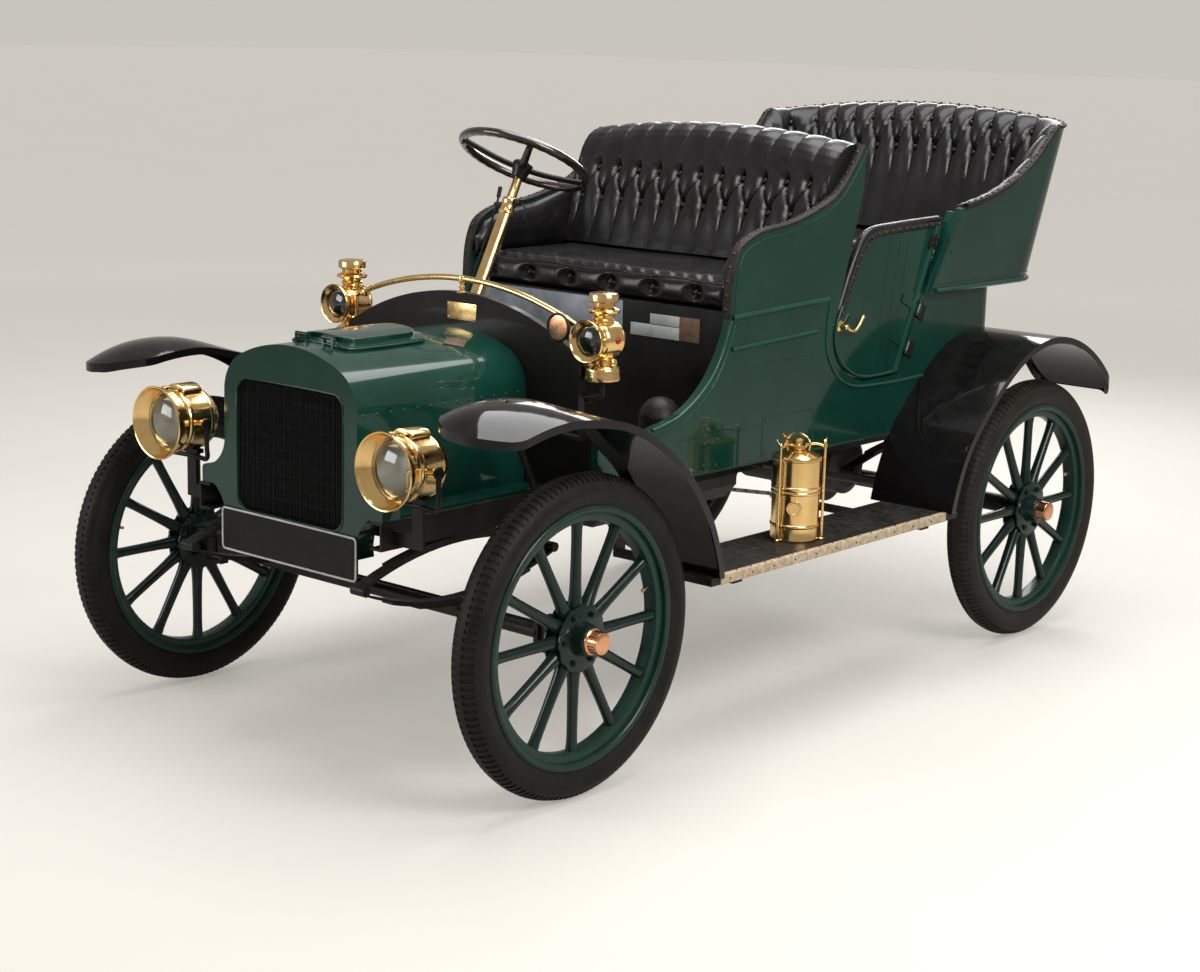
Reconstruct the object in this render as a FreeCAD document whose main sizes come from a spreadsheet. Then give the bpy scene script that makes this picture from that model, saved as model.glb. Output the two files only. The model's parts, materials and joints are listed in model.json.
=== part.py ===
import FreeCAD, Part
import math
import os

from FreeCAD import Placement, Rotation, Vector

# Brass era touring car, side entrance, two rows of seats, two cylinders under the floor, chain drive.
# Millimetres. +Z is up, the car faces -Y and its left side is +X.
# Sketches measure y from the front axle; every finished piece is then moved back by the same amount,
# so that the origin lies on the ground under the middle of the car.

doc = FreeCAD.newDocument("brass_era_car")
sheet = doc.addObject("Spreadsheet::Sheet", "sizes")

# Driving dimensions, one cell each
SIZES = {
    # Running gear
    "wheelbase": 2134,
    "track": 1422,
    "wheel_radius": 406.4,
    "tyre_section": 89,
    "rim_seat_radius": 325,
    "rim_half_width": 35,
    "felloe_inner_radius": 289,
    "felloe_width": 44,
    "spoke_count": 12,
    "spoke_root": 30,
    "spoke_tip": 23,
    "hub_flange_radius": 62,
    "hub_barrel_radius": 36,
    "hub_cap_radius": 30,
    "hub_cap_reach": 95,
    "spindle_radius": 16,
    "running_clearance": 0.05,
    "seat_gap": 0.3,
    # Steering
    "kingpin_inset": 75,
    "kingpin_radius": 10,
    "front_axle_height": 395,
    "axle_tube_radius": 17,
    "steering_arm": 140,
    "tie_rod_drop": 33,
    "column_x": 260,
    "column_radius": 19,
    "column_rake": 27,
    "wheel_hub_y": 841,
    "wheel_hub_z": 1450,
    "steering_rim_radius": 187,
    "steering_grip_radius": 12,
    # Frame, springs and drive
    "rail_x": 320,
    "rail_width": 40,
    "rail_depth": 70,
    "rail_top": 668,
    "rail_front": 290,
    "rail_overhang": 316,
    "leaf_width": 38,
    "leaf_thickness": 6,
    "front_spring_half": 340,
    "rear_spring_half": 400,
    "rear_tube_radius": 28,
    "chain_x": 200,
    "engine_sprocket_radius": 48,
    "axle_sprocket_radius": 105,
    "countershaft_y": 1300,
    "countershaft_z": 520,
    "chain_pitch": 32,
    "muffler_radius": 92,
    # Radiator and hood
    "radiator_front": 283,
    "shell_depth": 60,
    "hood_half_width": 246,
    "hood_crown": 1062,
    "shoulder_radius": 110,
    "crown_radius": 420,
    "hood_sheet": 6,
    "grille_half_width": 195,
    "grille_low": 621,
    "grille_high": 960,
    "wing_half_width": 336,
    "shell_bottom": 560,
    "plate_half_width": 253,
    "plate_low": 503,
    "plate_high": 619,
    # Dash
    "dash_front": 318,
    "dash_thickness": 22,
    "dash_half_width": 430,
    "dash_crown": 1150,
    "dash_shoulder": 1035,
    "rail_crown": 1185,
    "rail_tube_radius": 9,
    # Lamps
    "headlamp_x": 421,
    "headlamp_front": 362,
    "headlamp_z": 819,
    "headlamp_bezel_radius": 96,
    "headlamp_barrel_radius": 79,
    "side_lamp_x": 466,
    "side_lamp_y": 366,
    "side_lamp_z": 1072,
    "side_lamp_bezel_radius": 54,
    # Fenders and boards
    "fender_inner": 540,
    "fender_outer": 785,
    "fender_tip": 366,
    "fender_sheet": 5,
    "fender_lip": 20,
    "board_inner": 545,
    "board_outer": 770,
    "board_front": 462,
    "board_rear_inset": 494,
    "board_top": 482,
    "board_thickness": 24,
    "foot_rebate": 4,
    "front_foot": 38,
    "rear_foot": 64,
    # Body
    "body_half_width": 500,
    "panel_thickness": 22,
    "floor_thickness": 22,
    "body_rear": 2255,
    "body_corner_radius": 90,
    "tub_bottom": 1085,
    "tub_bottom_half_width": 530,
    "tub_top_half_width": 577,
    "tub_bottom_rear": 2478,
    "tub_rear": 2600,
    "tub_corner_radius": 150,
    "tub_crown": 1612,
    "door_gap": 7,
    "hinge_radius": 7.5,
    "hinge_pin_radius": 4,
    "seat_front": 885,
    "seat_board_top": 1098,
    "seat_back_crown": 1558,
    "cushion_height": 97,
    "rear_seat_front": 1960,
}

for row, (alias, value) in enumerate(SIZES.items(), start=1):
    sheet.set(f"A{row}", str(value))
    sheet.setAlias(f"A{row}", alias)
doc.recompute()


def size(alias):
    """A driving dimension, read back from its cell."""
    return float(sheet.get(alias))


def kingpin_x():
    """Distance of a kingpin from the car's middle, a fixed step inside the wheel's centre."""
    return size("track") / 2 - size("kingpin_inset")


SHIFT = "-(sizes.tub_rear - sizes.wheel_radius) / 2"
SUBPARTS = []


def keep(node, label):
    """Name a finished piece and move it into the car's own frame."""
    node.Label = label
    node.setExpression("Placement.Base.y", SHIFT)
    SUBPARTS.append(node)
    return node


def flat(points):
    return [Vector(u, v, 0) for u, v in points]


def trace(start, *steps):
    """Closed outline. A step is a point, or a list of points that a smooth curve runs through:
    two points make an arc, more make a spline."""
    here = Vector(start[0], start[1], 0)
    first = here
    curves = []
    for step in steps:
        if isinstance(step, tuple):
            target = Vector(step[0], step[1], 0)
            curves.append(Part.LineSegment(here, target))
        elif len(step) == 2:
            through, target = flat(step)
            curves.append(Part.Arc(here, through, target))
        else:
            points = flat(step)
            target = points[-1]
            spline = Part.BSplineCurve()
            spline.interpolate([here] + points)
            curves.append(spline)
        here = target
    if (here - first).Length > 1e-6:
        curves.append(Part.LineSegment(here, first))
    return curves


def new_body(name):
    return doc.addObject("PartDesign::Body", name)


def origin_feature(body, role):
    return next(item for item in body.Origin.OriginFeatures if item.Role == role)


def sketch(body, plane, offset, curves):
    """Outline on one of the body's origin planes, moved along the plane's normal."""
    outline = body.newObject("Sketcher::SketchObject", body.Name + "_sketch")
    outline.AttachmentSupport = [(origin_feature(body, plane), "")]
    outline.MapMode = "FlatFace"
    outline.AttachmentOffset = Placement(Vector(0, 0, offset), Rotation())
    outline.addGeometry(curves)
    return outline


def bind(feature, prop, value):
    if isinstance(value, str):
        feature.setExpression(prop, value)
    else:
        setattr(feature, prop, value)


def pad(body, plane, offset, curves, length):
    feature = body.newObject("PartDesign::Pad", body.Name + "_pad")
    feature.Profile = sketch(body, plane, offset, curves)
    bind(feature, "Length", length)
    return feature


def pocket(body, plane, offset, curves, length):
    """Cut from the sketch against the plane's normal, for the given depth."""
    feature = body.newObject("PartDesign::Pocket", body.Name + "_pocket")
    feature.Profile = sketch(body, plane, offset, curves)
    bind(feature, "Length", length)
    return feature


def revolve(body, plane, curves, axis):
    outline = sketch(body, plane, 0, curves)
    feature = body.newObject("PartDesign::Revolution", body.Name + "_turned")
    feature.Profile = outline
    feature.ReferenceAxis = (outline, [axis])
    feature.Angle = 360
    return feature


def box(name, low, high):
    part = doc.addObject("Part::Box", name)
    part.Length = high[0] - low[0]
    part.Width = high[1] - low[1]
    part.Height = high[2] - low[2]
    part.Placement = Placement(Vector(*low), Rotation())
    return part


def rod(name, start, end, radius):
    """Round bar from one point to another."""
    part = doc.addObject("Part::Cylinder", name)
    bind(part, "Radius", radius)
    along = Vector(*end) - Vector(*start)
    part.Height = along.Length
    part.Placement = Placement(Vector(*start), Rotation(Vector(0, 0, 1), along))
    return part


def ball(name, centre, radius):
    part = doc.addObject("Part::Sphere", name)
    part.Radius = radius
    part.Placement.Base = Vector(*centre)
    return part


def bent_rod(name, points, radius):
    """Round bar through several points, with a ball at each bend."""
    pieces = [rod(f"{name}_run", a, b, radius) for a, b in zip(points, points[1:])]
    pieces += [ball(f"{name}_bend", p, radius) for p in points[1:-1]]
    return pieces


def fuse(name, pieces):
    joined = doc.addObject("Part::MultiFuse", name)
    joined.Shapes = pieces
    return joined


def cut(name, base, tool):
    result = doc.addObject("Part::Cut", name)
    result.Base = base
    result.Tool = tool
    return result


def common(name, pieces):
    result = doc.addObject("Part::MultiCommon", name)
    result.Shapes = pieces
    return result


def gather(name, pieces):
    """Several solids of one node that don't touch."""
    group = doc.addObject("Part::Compound", name)
    group.Links = pieces
    return group


def solid_feature(name, shape):
    part = doc.addObject("Part::Feature", name)
    part.Shape = shape
    return part


def offset_points(points, distance):
    """The same run of points, moved sideways by a distance (positive to its left)."""
    moved = []
    for index, (u, v) in enumerate(points):
        before = points[max(index - 1, 0)]
        after = points[min(index + 1, len(points) - 1)]
        run = math.hypot(after[0] - before[0], after[1] - before[1])
        moved.append((u - distance * (after[1] - before[1]) / run, v + distance * (after[0] - before[0]) / run))
    return moved


def arch(inset, base):
    """Hood section: upright sides, round shoulders and a gently crowned top, inset all round."""
    half = size("hood_half_width") - inset
    crown = size("hood_crown") - inset
    shoulder = size("shoulder_radius") - inset
    radius = size("crown_radius") - inset
    side = half - shoulder
    rise = math.sqrt((radius - shoulder) ** 2 - side ** 2)
    centre_z = crown - radius + rise
    turn = math.atan2(rise, side)
    meet = (radius * math.cos(turn), crown - radius + radius * math.sin(turn))
    middle = (side + shoulder * math.cos(turn / 2), centre_z + shoulder * math.sin(turn / 2))
    return [(half, base), (half, centre_z), middle, meet, (0, crown)]


def arch_steps(inset, base):
    """Outline steps over the arch from its right foot to its left foot."""
    foot, spring, middle, meet, top = arch(inset, base)
    flip = [(-u, v) for u, v in (foot, spring, middle, meet)]
    return [spring, [middle, meet], [top, flip[3]], [flip[2], flip[1]], flip[0]]


# Rear door line: the door's rear edge and everything that lines up with it
DOOR_REAR_LOW = (1691, 854)
DOOR_REAR_HIGH = (1905, 1308)
DOOR_FRONT = [(1473, 1251), (1420, 1165), (1381, 1081), (1354, 1015), (1365, 945), (1430, 882), (1525, 852)]
DOOR_TOP_FRONT = (1532, 1289)


def door_line(z, back):
    """Y of the door's rear edge at a height, moved back by a gap."""
    slope = (DOOR_REAR_HIGH[0] - DOOR_REAR_LOW[0]) / (DOOR_REAR_HIGH[1] - DOOR_REAR_LOW[1])
    return DOOR_REAR_LOW[0] + (z - DOOR_REAR_LOW[1]) * slope + back


rail_bottom = size("rail_top") - size("rail_depth")
floor_top = size("rail_top") + size("floor_thickness")
inner_side = size("body_half_width") - size("panel_thickness")


def wheel(label, x, y_expression, turned):
    body = new_body(label)
    half = size("felloe_width") / 2
    lip = size("rim_half_width")
    seat = size("rim_seat_radius")
    inner = size("felloe_inner_radius")
    revolve(body, "XY_Plane", trace((-half, inner), (half, inner), (half, seat - 12), (lip, seat - 12),
                                    (lip, seat + 3), (lip - 4.5, seat + 3), (lip - 4.5, seat),
                                    (4.5 - lip, seat), (4.5 - lip, seat + 3), (-lip, seat + 3),
                                    (-lip, seat - 12), (-half, seat - 12)), "H_Axis")
    root = size("spoke_root") / 2
    tip = size("spoke_tip") / 2
    flange = size("hub_flange_radius")
    spoke = body.newObject("PartDesign::AdditiveLoft", label + "_spoke")
    spoke.Profile = sketch(body, "XY_Plane", flange - 6, chamfered(root, root))
    spoke.Sections = [sketch(body, "XY_Plane", inner + 4, chamfered(tip, tip))]
    spoke.Ruled = True
    ring = body.newObject("PartDesign::PolarPattern", label + "_spokes")
    ring.Originals = [spoke]
    ring.Axis = (origin_feature(body, "X_Axis"), [""])
    ring.Angle = 360
    ring.setExpression("Occurrences", "sizes.spoke_count")
    body.Tip = ring
    barrel = size("hub_barrel_radius")
    cap = size("hub_cap_radius")
    reach = size("hub_cap_reach")
    bore = size("spindle_radius") + size("running_clearance")
    hub = revolve(body, "XY_Plane", trace((-45, bore), (-45, barrel), (-half, barrel + 4), (-half, flange),
                                          (half, flange), (half, barrel + 4), (reach - 37, barrel),
                                          (reach - 37, cap), (reach - 6, cap), (reach, cap - 7),
                                          (reach, 0), (reach - 15, 0), (reach - 15, bore)), "H_Axis")
    body.Tip = hub
    body.Placement = Placement(Vector(x, 0, 0), Rotation(Vector(0, 0, 1), 180 if turned else 0))
    keep(body, label)
    body.setExpression("Placement.Base.x", f"{math.copysign(1, x):.0f} * sizes.track / 2")
    body.setExpression("Placement.Base.y", f"{y_expression} + {SHIFT}")
    body.setExpression("Placement.Base.z", "sizes.wheel_radius")


def chamfered(half_u, half_v):
    """Spoke section: a square with its corners taken off."""
    u, v = half_u, half_v
    a, b = half_u * 0.45, half_v * 0.45
    return trace((u, -b), (u, b), (a, v), (-a, v), (-u, b), (-u, -b), (-a, -v), (a, -v))


def tyre(label, x, y_expression):
    body = new_body(label)
    section = size("tyre_section") / 2
    centre = size("wheel_radius") - section
    seat = size("rim_seat_radius")
    foot = math.sqrt(section ** 2 - (centre - seat) ** 2)
    revolve(body, "XY_Plane", trace((-foot, seat), [(-section, centre), (0, centre + section)],
                                    [(section, centre), (foot, seat)]), "H_Axis")
    keep(body, label)
    body.setExpression("Placement.Base.x", f"{math.copysign(1, x):.0f} * sizes.track / 2")
    body.setExpression("Placement.Base.y", f"{y_expression} + {SHIFT}")
    body.setExpression("Placement.Base.z", "sizes.wheel_radius")


for side_name, side in (("left", 1), ("right", -1)):
    wheel(f"wheel_front_{side_name}", side * size("track") / 2, "0", side < 0)
    tyre(f"tyre_front_{side_name}", side * size("track") / 2, "0")
    wheel(f"wheel_rear_{side_name}", side * size("track") / 2, "sizes.wheelbase", side < 0)
    tyre(f"tyre_rear_{side_name}", side * size("track") / 2, "sizes.wheelbase")


def radius_rod_x(end):
    """Distance of the radius rods from the middle: inside the rails in front, outside them behind."""
    offset = -16 if end == "front" else 30
    return size("rail_x") + math.copysign(size("rail_width") / 2, offset) + offset


# Front axle: tube with a forked yoke at each end, spring pads on top
def front_axle():
    z = size("front_axle_height")
    pin = kingpin_x()
    web = pin - 46
    pieces = [rod("axle_tube", (-web - 6, 0, z), (web + 6, 0, z), "sizes.axle_tube_radius")]
    for side in (1, -1):
        pieces.append(box("yoke_web", (min(side * web, side * (web + 14)), -14, z - 43),
                          (max(side * web, side * (web + 14)), 14, z + 43)))
        for low in (z - 43, z + 33):
            pieces.append(box("yoke_ear", (min(side * web, side * pin), -14, low),
                              (max(side * web, side * pin), 14, low + 10)))
            pieces.append(rod("yoke_eye", (side * pin, 0, low), (side * pin, 0, low + 10), 20))
        rail = side * size("rail_x")
        pieces.append(box("spring_pad", (rail - 30, -35, z + 12), (rail + 30, 35, z + 23)))
        lug = side * radius_rod_x("front")
        pieces.append(box("front_rod_lug", (lug - 9, 0, z - 10), (lug + 9, 34, z + 14)))
    bores = [rod("yoke_bore", (side * pin, 0, z - 60), (side * pin, 0, z + 60),
                 "sizes.kingpin_radius + sizes.running_clearance") for side in (1, -1)]
    keep(cut("front_axle", fuse("axle_forging", pieces), fuse("yoke_bores", bores)), "front_axle")


# Stub axle that swivels on its kingpin, with the arm that the tie rod turns
def knuckle(label, side):
    z = size("front_axle_height")
    pin = kingpin_x() * side
    wheel_z = size("wheel_radius")
    arm = size("steering_arm")
    end = side * (size("track") / 2 + size("hub_cap_reach") - 21)
    arm_z = z - 21
    pieces = [
        rod(label + "_boss", (pin, 0, z - 31), (pin, 0, z + 31), 22),
        rod(label + "_kingpin", (pin, 0, z - 52), (pin, 0, z + 52), "sizes.kingpin_radius"),
        rod(label + "_spindle", (pin, 0, wheel_z), (end, 0, wheel_z), "sizes.spindle_radius"),
        rod(label + "_collar", (pin, 0, wheel_z), (pin + side * 25, 0, wheel_z), 17.5),
        box(label + "_arm", (pin - 8, 0, arm_z), (pin + 8, arm, arm_z + 12)),
        rod(label + "_eye", (pin, arm, arm_z), (pin, arm, arm_z + 12), 14),
    ]
    bore = rod(label + "_bore", (pin, arm, arm_z - 10), (pin, arm, arm_z + 30), 7.05)
    keep(cut(label, fuse(label + "_forging", pieces), bore), label)


# Tie rod below the two steering arms, its pins through their eyes
def tie_rod():
    z = size("front_axle_height") - size("tie_rod_drop")
    pin = kingpin_x()
    arm = size("steering_arm")
    pieces = [rod("tie_tube", (-pin, arm, z), (pin, arm, z), 8)]
    for side in (1, -1):
        pieces.append(rod("tie_eye", (side * pin, arm, z - 9), (side * pin, arm, z + 9), 12))
        pieces.append(rod("tie_pin", (side * pin, arm, z - 9), (side * pin, arm, z + 34), 7))
    keep(fuse("tie_rod", pieces), "tie_rod")


front_axle()
knuckle("knuckle_left", 1)
knuckle("knuckle_right", -1)
tie_rod()


MEMBERS = (-180, 260, 560, size("wheelbase") - 634, size("wheelbase") + 266)


# Ladder frame: two pressed channels that open inwards, and cross members between them
def frame():
    outer = size("rail_x") + size("rail_width") / 2
    inner = size("rail_x") - size("rail_width") / 2
    top = size("rail_top")
    rear = size("wheelbase") + size("rail_overhang")
    length = rear + size("rail_front")
    rails = []
    for side in (1, -1):
        rail = new_body("frame_rail")
        channel = trace((side * outer, rail_bottom), (side * outer, top), (side * inner, top),
                        (side * inner, top - 6), (side * (outer - 6), top - 6),
                        (side * (outer - 6), rail_bottom + 6), (side * inner, rail_bottom + 6),
                        (side * inner, rail_bottom))
        pad(rail, "XZ_Plane", -rear, channel, length)
        rails.append(rail)
    members = [box("cross_member", (-inner - 6, y - 20, rail_bottom + 8), (inner + 6, y + 20, top - 8))
               for y in MEMBERS]
    ends = [box("member_end", (min(side * (inner - 4), side * (outer - 5)), y - 20, rail_bottom + 5),
                (max(side * (inner - 4), side * (outer - 5)), y + 20, top - 5))
            for y in MEMBERS for side in (1, -1)]
    keep(fuse("frame", rails + members + ends), "frame")


# Full elliptic springs: a stack of leaves bowed down and one bowed up, joined at the eyes
def leaf(centre_y, base, direction, inner_radius, half, x_low):
    """One leaf of a stack, an arc band that is thickest nowhere and as wide as the spring."""
    outer_radius = inner_radius + size("leaf_thickness")
    centre = Vector(0, centre_y, base)
    edges = []
    ends = []
    for radius in (inner_radius, outer_radius):
        turn = math.asin(half / inner_radius)
        points = [centre + Vector(0, radius * math.sin(a), -direction * radius * math.cos(a))
                  for a in (-turn, 0, turn)]
        edges.append(Part.Arc(*points).toShape())
        ends.append((points[0], points[2]))
    edges.append(Part.LineSegment(ends[0][0], ends[1][0]).toShape())
    edges.append(Part.LineSegment(ends[0][1], ends[1][1]).toShape())
    face = Part.Face(Part.Wire(Part.sortEdges(edges)[0]))
    face.translate(Vector(x_low, 0, 0))
    return face.extrude(Vector(size("leaf_width"), 0, 0))


def elliptic_spring(centre_y, bottom, top, half, x):
    middle = (bottom + top) / 2
    thickness = size("leaf_thickness")
    leaves = 3
    rise = middle - 5 - bottom - leaves * thickness
    inner_radius = (half ** 2 + rise ** 2) / (2 * rise)
    x_low = x - size("leaf_width") / 2
    stack = []
    for direction, start in ((1, bottom), (-1, top)):
        base = start + direction * (leaves * thickness + inner_radius)
        for number in range(leaves):
            share = 1 - 0.27 * number
            stack.append(leaf(centre_y, base, direction, inner_radius + number * thickness, half * share, x_low))
    for end in (-half, half):
        eye = Part.makeCylinder(13, size("leaf_width") + 8, Vector(x_low - 4, centre_y + end, middle), Vector(1, 0, 0))
        stack.append(eye)
    return stack[0].multiFuse(stack[1:]).removeSplitter()


def springs():
    front_pad = size("front_axle_height") + 23
    rear_pad = size("wheel_radius") + size("rear_tube_radius") + 6
    shapes = []
    for side in (1, -1):
        x = side * size("rail_x")
        shapes.append(elliptic_spring(0, front_pad, rail_bottom, size("front_spring_half"), x))
        shapes.append(elliptic_spring(size("wheelbase"), rear_pad, rail_bottom, size("rear_spring_half"), x))
    keep(solid_feature("springs", Part.makeCompound(shapes)), "springs")


# Live rear axle: tubes, the differential drum and its sprocket, spindles for the wheels
def rear_axle():
    y = size("wheelbase")
    z = size("wheel_radius")
    tube = kingpin_x() + 16
    end = size("track") / 2 + size("hub_cap_reach") - 21
    sprocket = size("chain_x")
    pieces = [
        rod("rear_tube", (-tube, y, z), (tube, y, z), "sizes.rear_tube_radius"),
        rod("rear_shaft", (-end, y, z), (end, y, z), "sizes.spindle_radius"),
        rod("differential", (-sprocket + 20, y, z), (-sprocket + 170, y, z), 98),
        rod("differential_neck", (-sprocket, y, z), (-sprocket + 20, y, z), 60),
        rod("axle_sprocket", (-sprocket - 5, y, z), (-sprocket + 5, y, z), "sizes.axle_sprocket_radius - 7.6"),
    ]
    for side in (1, -1):
        rail = side * size("rail_x")
        pieces.append(box("rear_pad", (rail - 30, y - 35, z + 15), (rail + 30, y + 35, z + size("rear_tube_radius") + 6)))
        lug = side * radius_rod_x("rear")
        pieces.append(box("rear_rod_lug", (lug - 10, y - 60, z - 12), (lug + 10, y, z + 20)))
    keep(fuse("rear_axle", pieces), "rear_axle")


# Roller chain from the countershaft to the axle, one closed loop of links
def drive_chain():
    y0, z0, r0 = size("countershaft_y"), size("countershaft_z"), size("engine_sprocket_radius")
    y1, z1, r1 = size("wheelbase"), size("wheel_radius"), size("axle_sprocket_radius")
    distance = math.hypot(y1 - y0, z1 - z0)
    heading = math.atan2(z1 - z0, y1 - y0)
    lean = math.asin((r1 - r0) / distance)
    upper = heading + math.pi / 2 + lean
    lower = heading - math.pi / 2 - lean
    straight = math.sqrt(distance ** 2 - (r1 - r0) ** 2)
    wrap_small = 2 * math.pi - (2 * math.pi - (upper - lower))
    wrap_small = 2 * math.pi - (upper - lower)
    wrap_big = upper - lower
    total = 2 * straight + r0 * wrap_small + r1 * wrap_big
    links = 2 * round(total / size("chain_pitch") / 2)

    def place(s):
        """Point and heading at a distance along the loop, starting at the small sprocket's top."""
        s = s % total
        if s < straight:
            start = Vector(0, y0 + r0 * math.cos(upper), z0 + r0 * math.sin(upper))
            turn = upper - math.pi / 2
            return start + Vector(0, math.cos(turn), math.sin(turn)) * s, turn
        s -= straight
        if s < r1 * wrap_big:
            turn = upper - s / r1
            return Vector(0, y1 + r1 * math.cos(turn), z1 + r1 * math.sin(turn)), turn - math.pi / 2
        s -= r1 * wrap_big
        if s < straight:
            start = Vector(0, y1 + r1 * math.cos(lower), z1 + r1 * math.sin(lower))
            turn = lower - math.pi / 2
            return start + Vector(0, math.cos(turn), math.sin(turn)) * s, turn
        s -= straight
        turn = lower - s / r0
        return Vector(0, y0 + r0 * math.cos(turn), z0 + r0 * math.sin(turn)), turn - math.pi / 2

    pitch = total / links
    shapes = []
    for number in range(links):
        a, _ = place(number * pitch)
        b, _ = place((number + 1) * pitch)
        run = b - a
        half_width = 11 if number % 2 else 7
        link = Part.makeBox(2 * half_width, run.Length + 9, 12, Vector(-half_width, -4.5, -6))
        link.Placement = Placement(a, Rotation(Vector(0, 1, 0), run))
        shapes.append(link)
    loop = shapes[0].multiFuse(shapes[1:])
    loop.translate(Vector(-size("chain_x"), 0, 0))
    keep(solid_feature("drive_chain", loop), "drive_chain")


# Radius rods that hold each axle square to the frame, with an eye at the frame's end
def radius_rods():
    z = size("front_axle_height")
    wheel_z = size("wheel_radius")
    rear_y = size("wheelbase")
    gap = size("seat_gap")
    member = rail_bottom + 5
    rail_face = size("rail_x") + size("rail_width") / 2
    rods = []
    for side_name, side in (("left", 1), ("right", -1)):
        inner = side * radius_rod_x("front")
        outer = side * radius_rod_x("rear")
        eye_z = member - 13 - gap
        bar = rod("front_rod", (inner, 34 + gap, z + 4), (inner, 556, eye_z), 9)
        eye = rod("front_rod_eye", (inner - 14, 560, eye_z), (inner + 14, 560, eye_z), 13)
        trim = box("front_rod_trim", (inner - 20, 20, z - 30), (inner + 20, 34 + gap, z + 40))
        rods.append(fuse(f"front_rod_{side_name}", [cut("front_rod_bar", bar, trim), eye]))
        bar = rod("rear_rod", (outer, rear_y - 60 - gap, wheel_z + 6), (outer, 1180, rail_bottom + 30), 11)
        eye = rod("rear_rod_eye", (side * (rail_face + gap), 1180, rail_bottom + 30),
                  (outer + side * 14, 1180, rail_bottom + 30), 15)
        trim = box("rear_rod_trim", (outer - 20, rear_y - 60 - gap, wheel_z - 30), (outer + 20, rear_y, wheel_z + 40))
        rods.append(fuse(f"rear_rod_{side_name}", [cut("rear_rod_bar", bar, trim), eye]))
    keep(gather("radius_rods", rods), "radius_rods")


# Engine and gear case hung between the rails under the front seat, one closed block
def engine_block():
    body = new_body("engine_case")
    top = size("rail_top") - 18
    pad(body, "XZ_Plane", -1380, trace((-150, 500), (-110, 455), (110, 455), (150, 500), (150, top), (-150, top)), 620)
    flywheel = rod("flywheel", (150, 1040, 545), (215, 1040, 545), 100)
    shaft = rod("countershaft", (-size("chain_x") - 5, size("countershaft_y"), size("countershaft_z")),
                (-150, size("countershaft_y"), size("countershaft_z")), 16)
    sprocket = rod("sprocket", (-size("chain_x") - 5, size("countershaft_y"), size("countershaft_z")),
                   (-size("chain_x") + 5, size("countershaft_y"), size("countershaft_z")),
                   "sizes.engine_sprocket_radius - 9")
    hanger = box("engine_hanger", (-330, 1200, rail_bottom + 6 + size("seat_gap")), (330, 1240, top))
    hanger_front = box("engine_hanger_front", (-330, 820, rail_bottom + 6 + size("seat_gap")), (330, 860, top))
    keep(fuse("engine_block", [body, flywheel, shaft, sprocket, hanger, hanger_front]), "engine_block")


# Silencer drum across the car, with its straps up to the floor
def muffler():
    y, z, radius = size("wheelbase") - 354, 525, size("muffler_radius")
    body = new_body("muffler_drum")
    revolve(body, "XZ_Plane", trace((-100, 0), (-100, radius - 22), (-88, radius), (278, radius), (290, radius - 22),
                                    (290, 0)), "H_Axis")
    body.Placement.Base = Vector(0, y, z)
    straps = [box("muffler_strap", (x, y - 12, z + radius - 12), (x + 24, y + 12, size("rail_top"))) for x in (-60, 210)]
    pipe = rod("exhaust_pipe", (-60, y - 60, z), (-60, y - 380, z), 20)
    keep(fuse("muffler", [body, pipe] + straps), "muffler")


frame()
springs()
rear_axle()
drive_chain()
radius_rods()
engine_block()
muffler()


# Painted radiator shell: arched top, wings that rest on the rails, a round cornered opening
def radiator_shell():
    front = size("radiator_front")
    depth = size("shell_depth")
    wing = size("wing_half_width")
    bottom = size("shell_bottom")
    half = size("hood_half_width")
    top = size("rail_top")
    body = new_body("radiator_shell")
    right_side = [(half, 800), [(half + 22, 742), (half + 70, top + 48)], (wing - 12, top + 48),
                  [(wing - 3, top + 44), (wing, top + 34)], (wing, top), (half + 42, top),
                  [(half + 6, 625), (half, bottom)]]
    left_side = []
    outline = trace((half, 920), *right_side, (-half, bottom),
                    [(-half - 6, 625), (-half - 42, top)], (-wing, top), (-wing, top + 34),
                    [(-wing + 3, top + 44), (-wing + 12, top + 48)], (-half - 70, top + 48),
                    [(-half - 22, 742), (-half, 800)], *reversed_arch())
    pad(body, "XZ_Plane", front - depth, outline, "sizes.shell_depth")
    pocket(body, "XZ_Plane", front, rounded(size("grille_half_width"), size("grille_low"), size("grille_high"), 42), 80)
    hollow = pocket(body, "XZ_Plane", front - depth,
                    rounded(size("grille_half_width") + 32, size("grille_low") - 30, size("grille_high") + 26, 30), 42)
    hollow.Reversed = True
    keep(body, "radiator_shell")


def reversed_arch():
    foot, spring, middle, meet, top = arch(0, 0)
    flip = [(-u, v) for u, v in (spring, middle, meet)]
    return [flip[0], [flip[1], flip[2]], [top, meet], [middle, spring]]


def rounded(half, low, high, radius):
    """Upright rectangle about the middle, with round corners."""
    r = radius
    k = r * (1 - math.sqrt(0.5))
    return trace((half, low + r), (half, high - r), [(half - k, high - k), (half - r, high)], (r - half, high),
                 [(k - half, high - k), (-half, high - r)], (-half, low + r), [(k - half, low + k), (r - half, low)],
                 (half - r, low), [(half - k, low + k), (half, low + r)])


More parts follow.
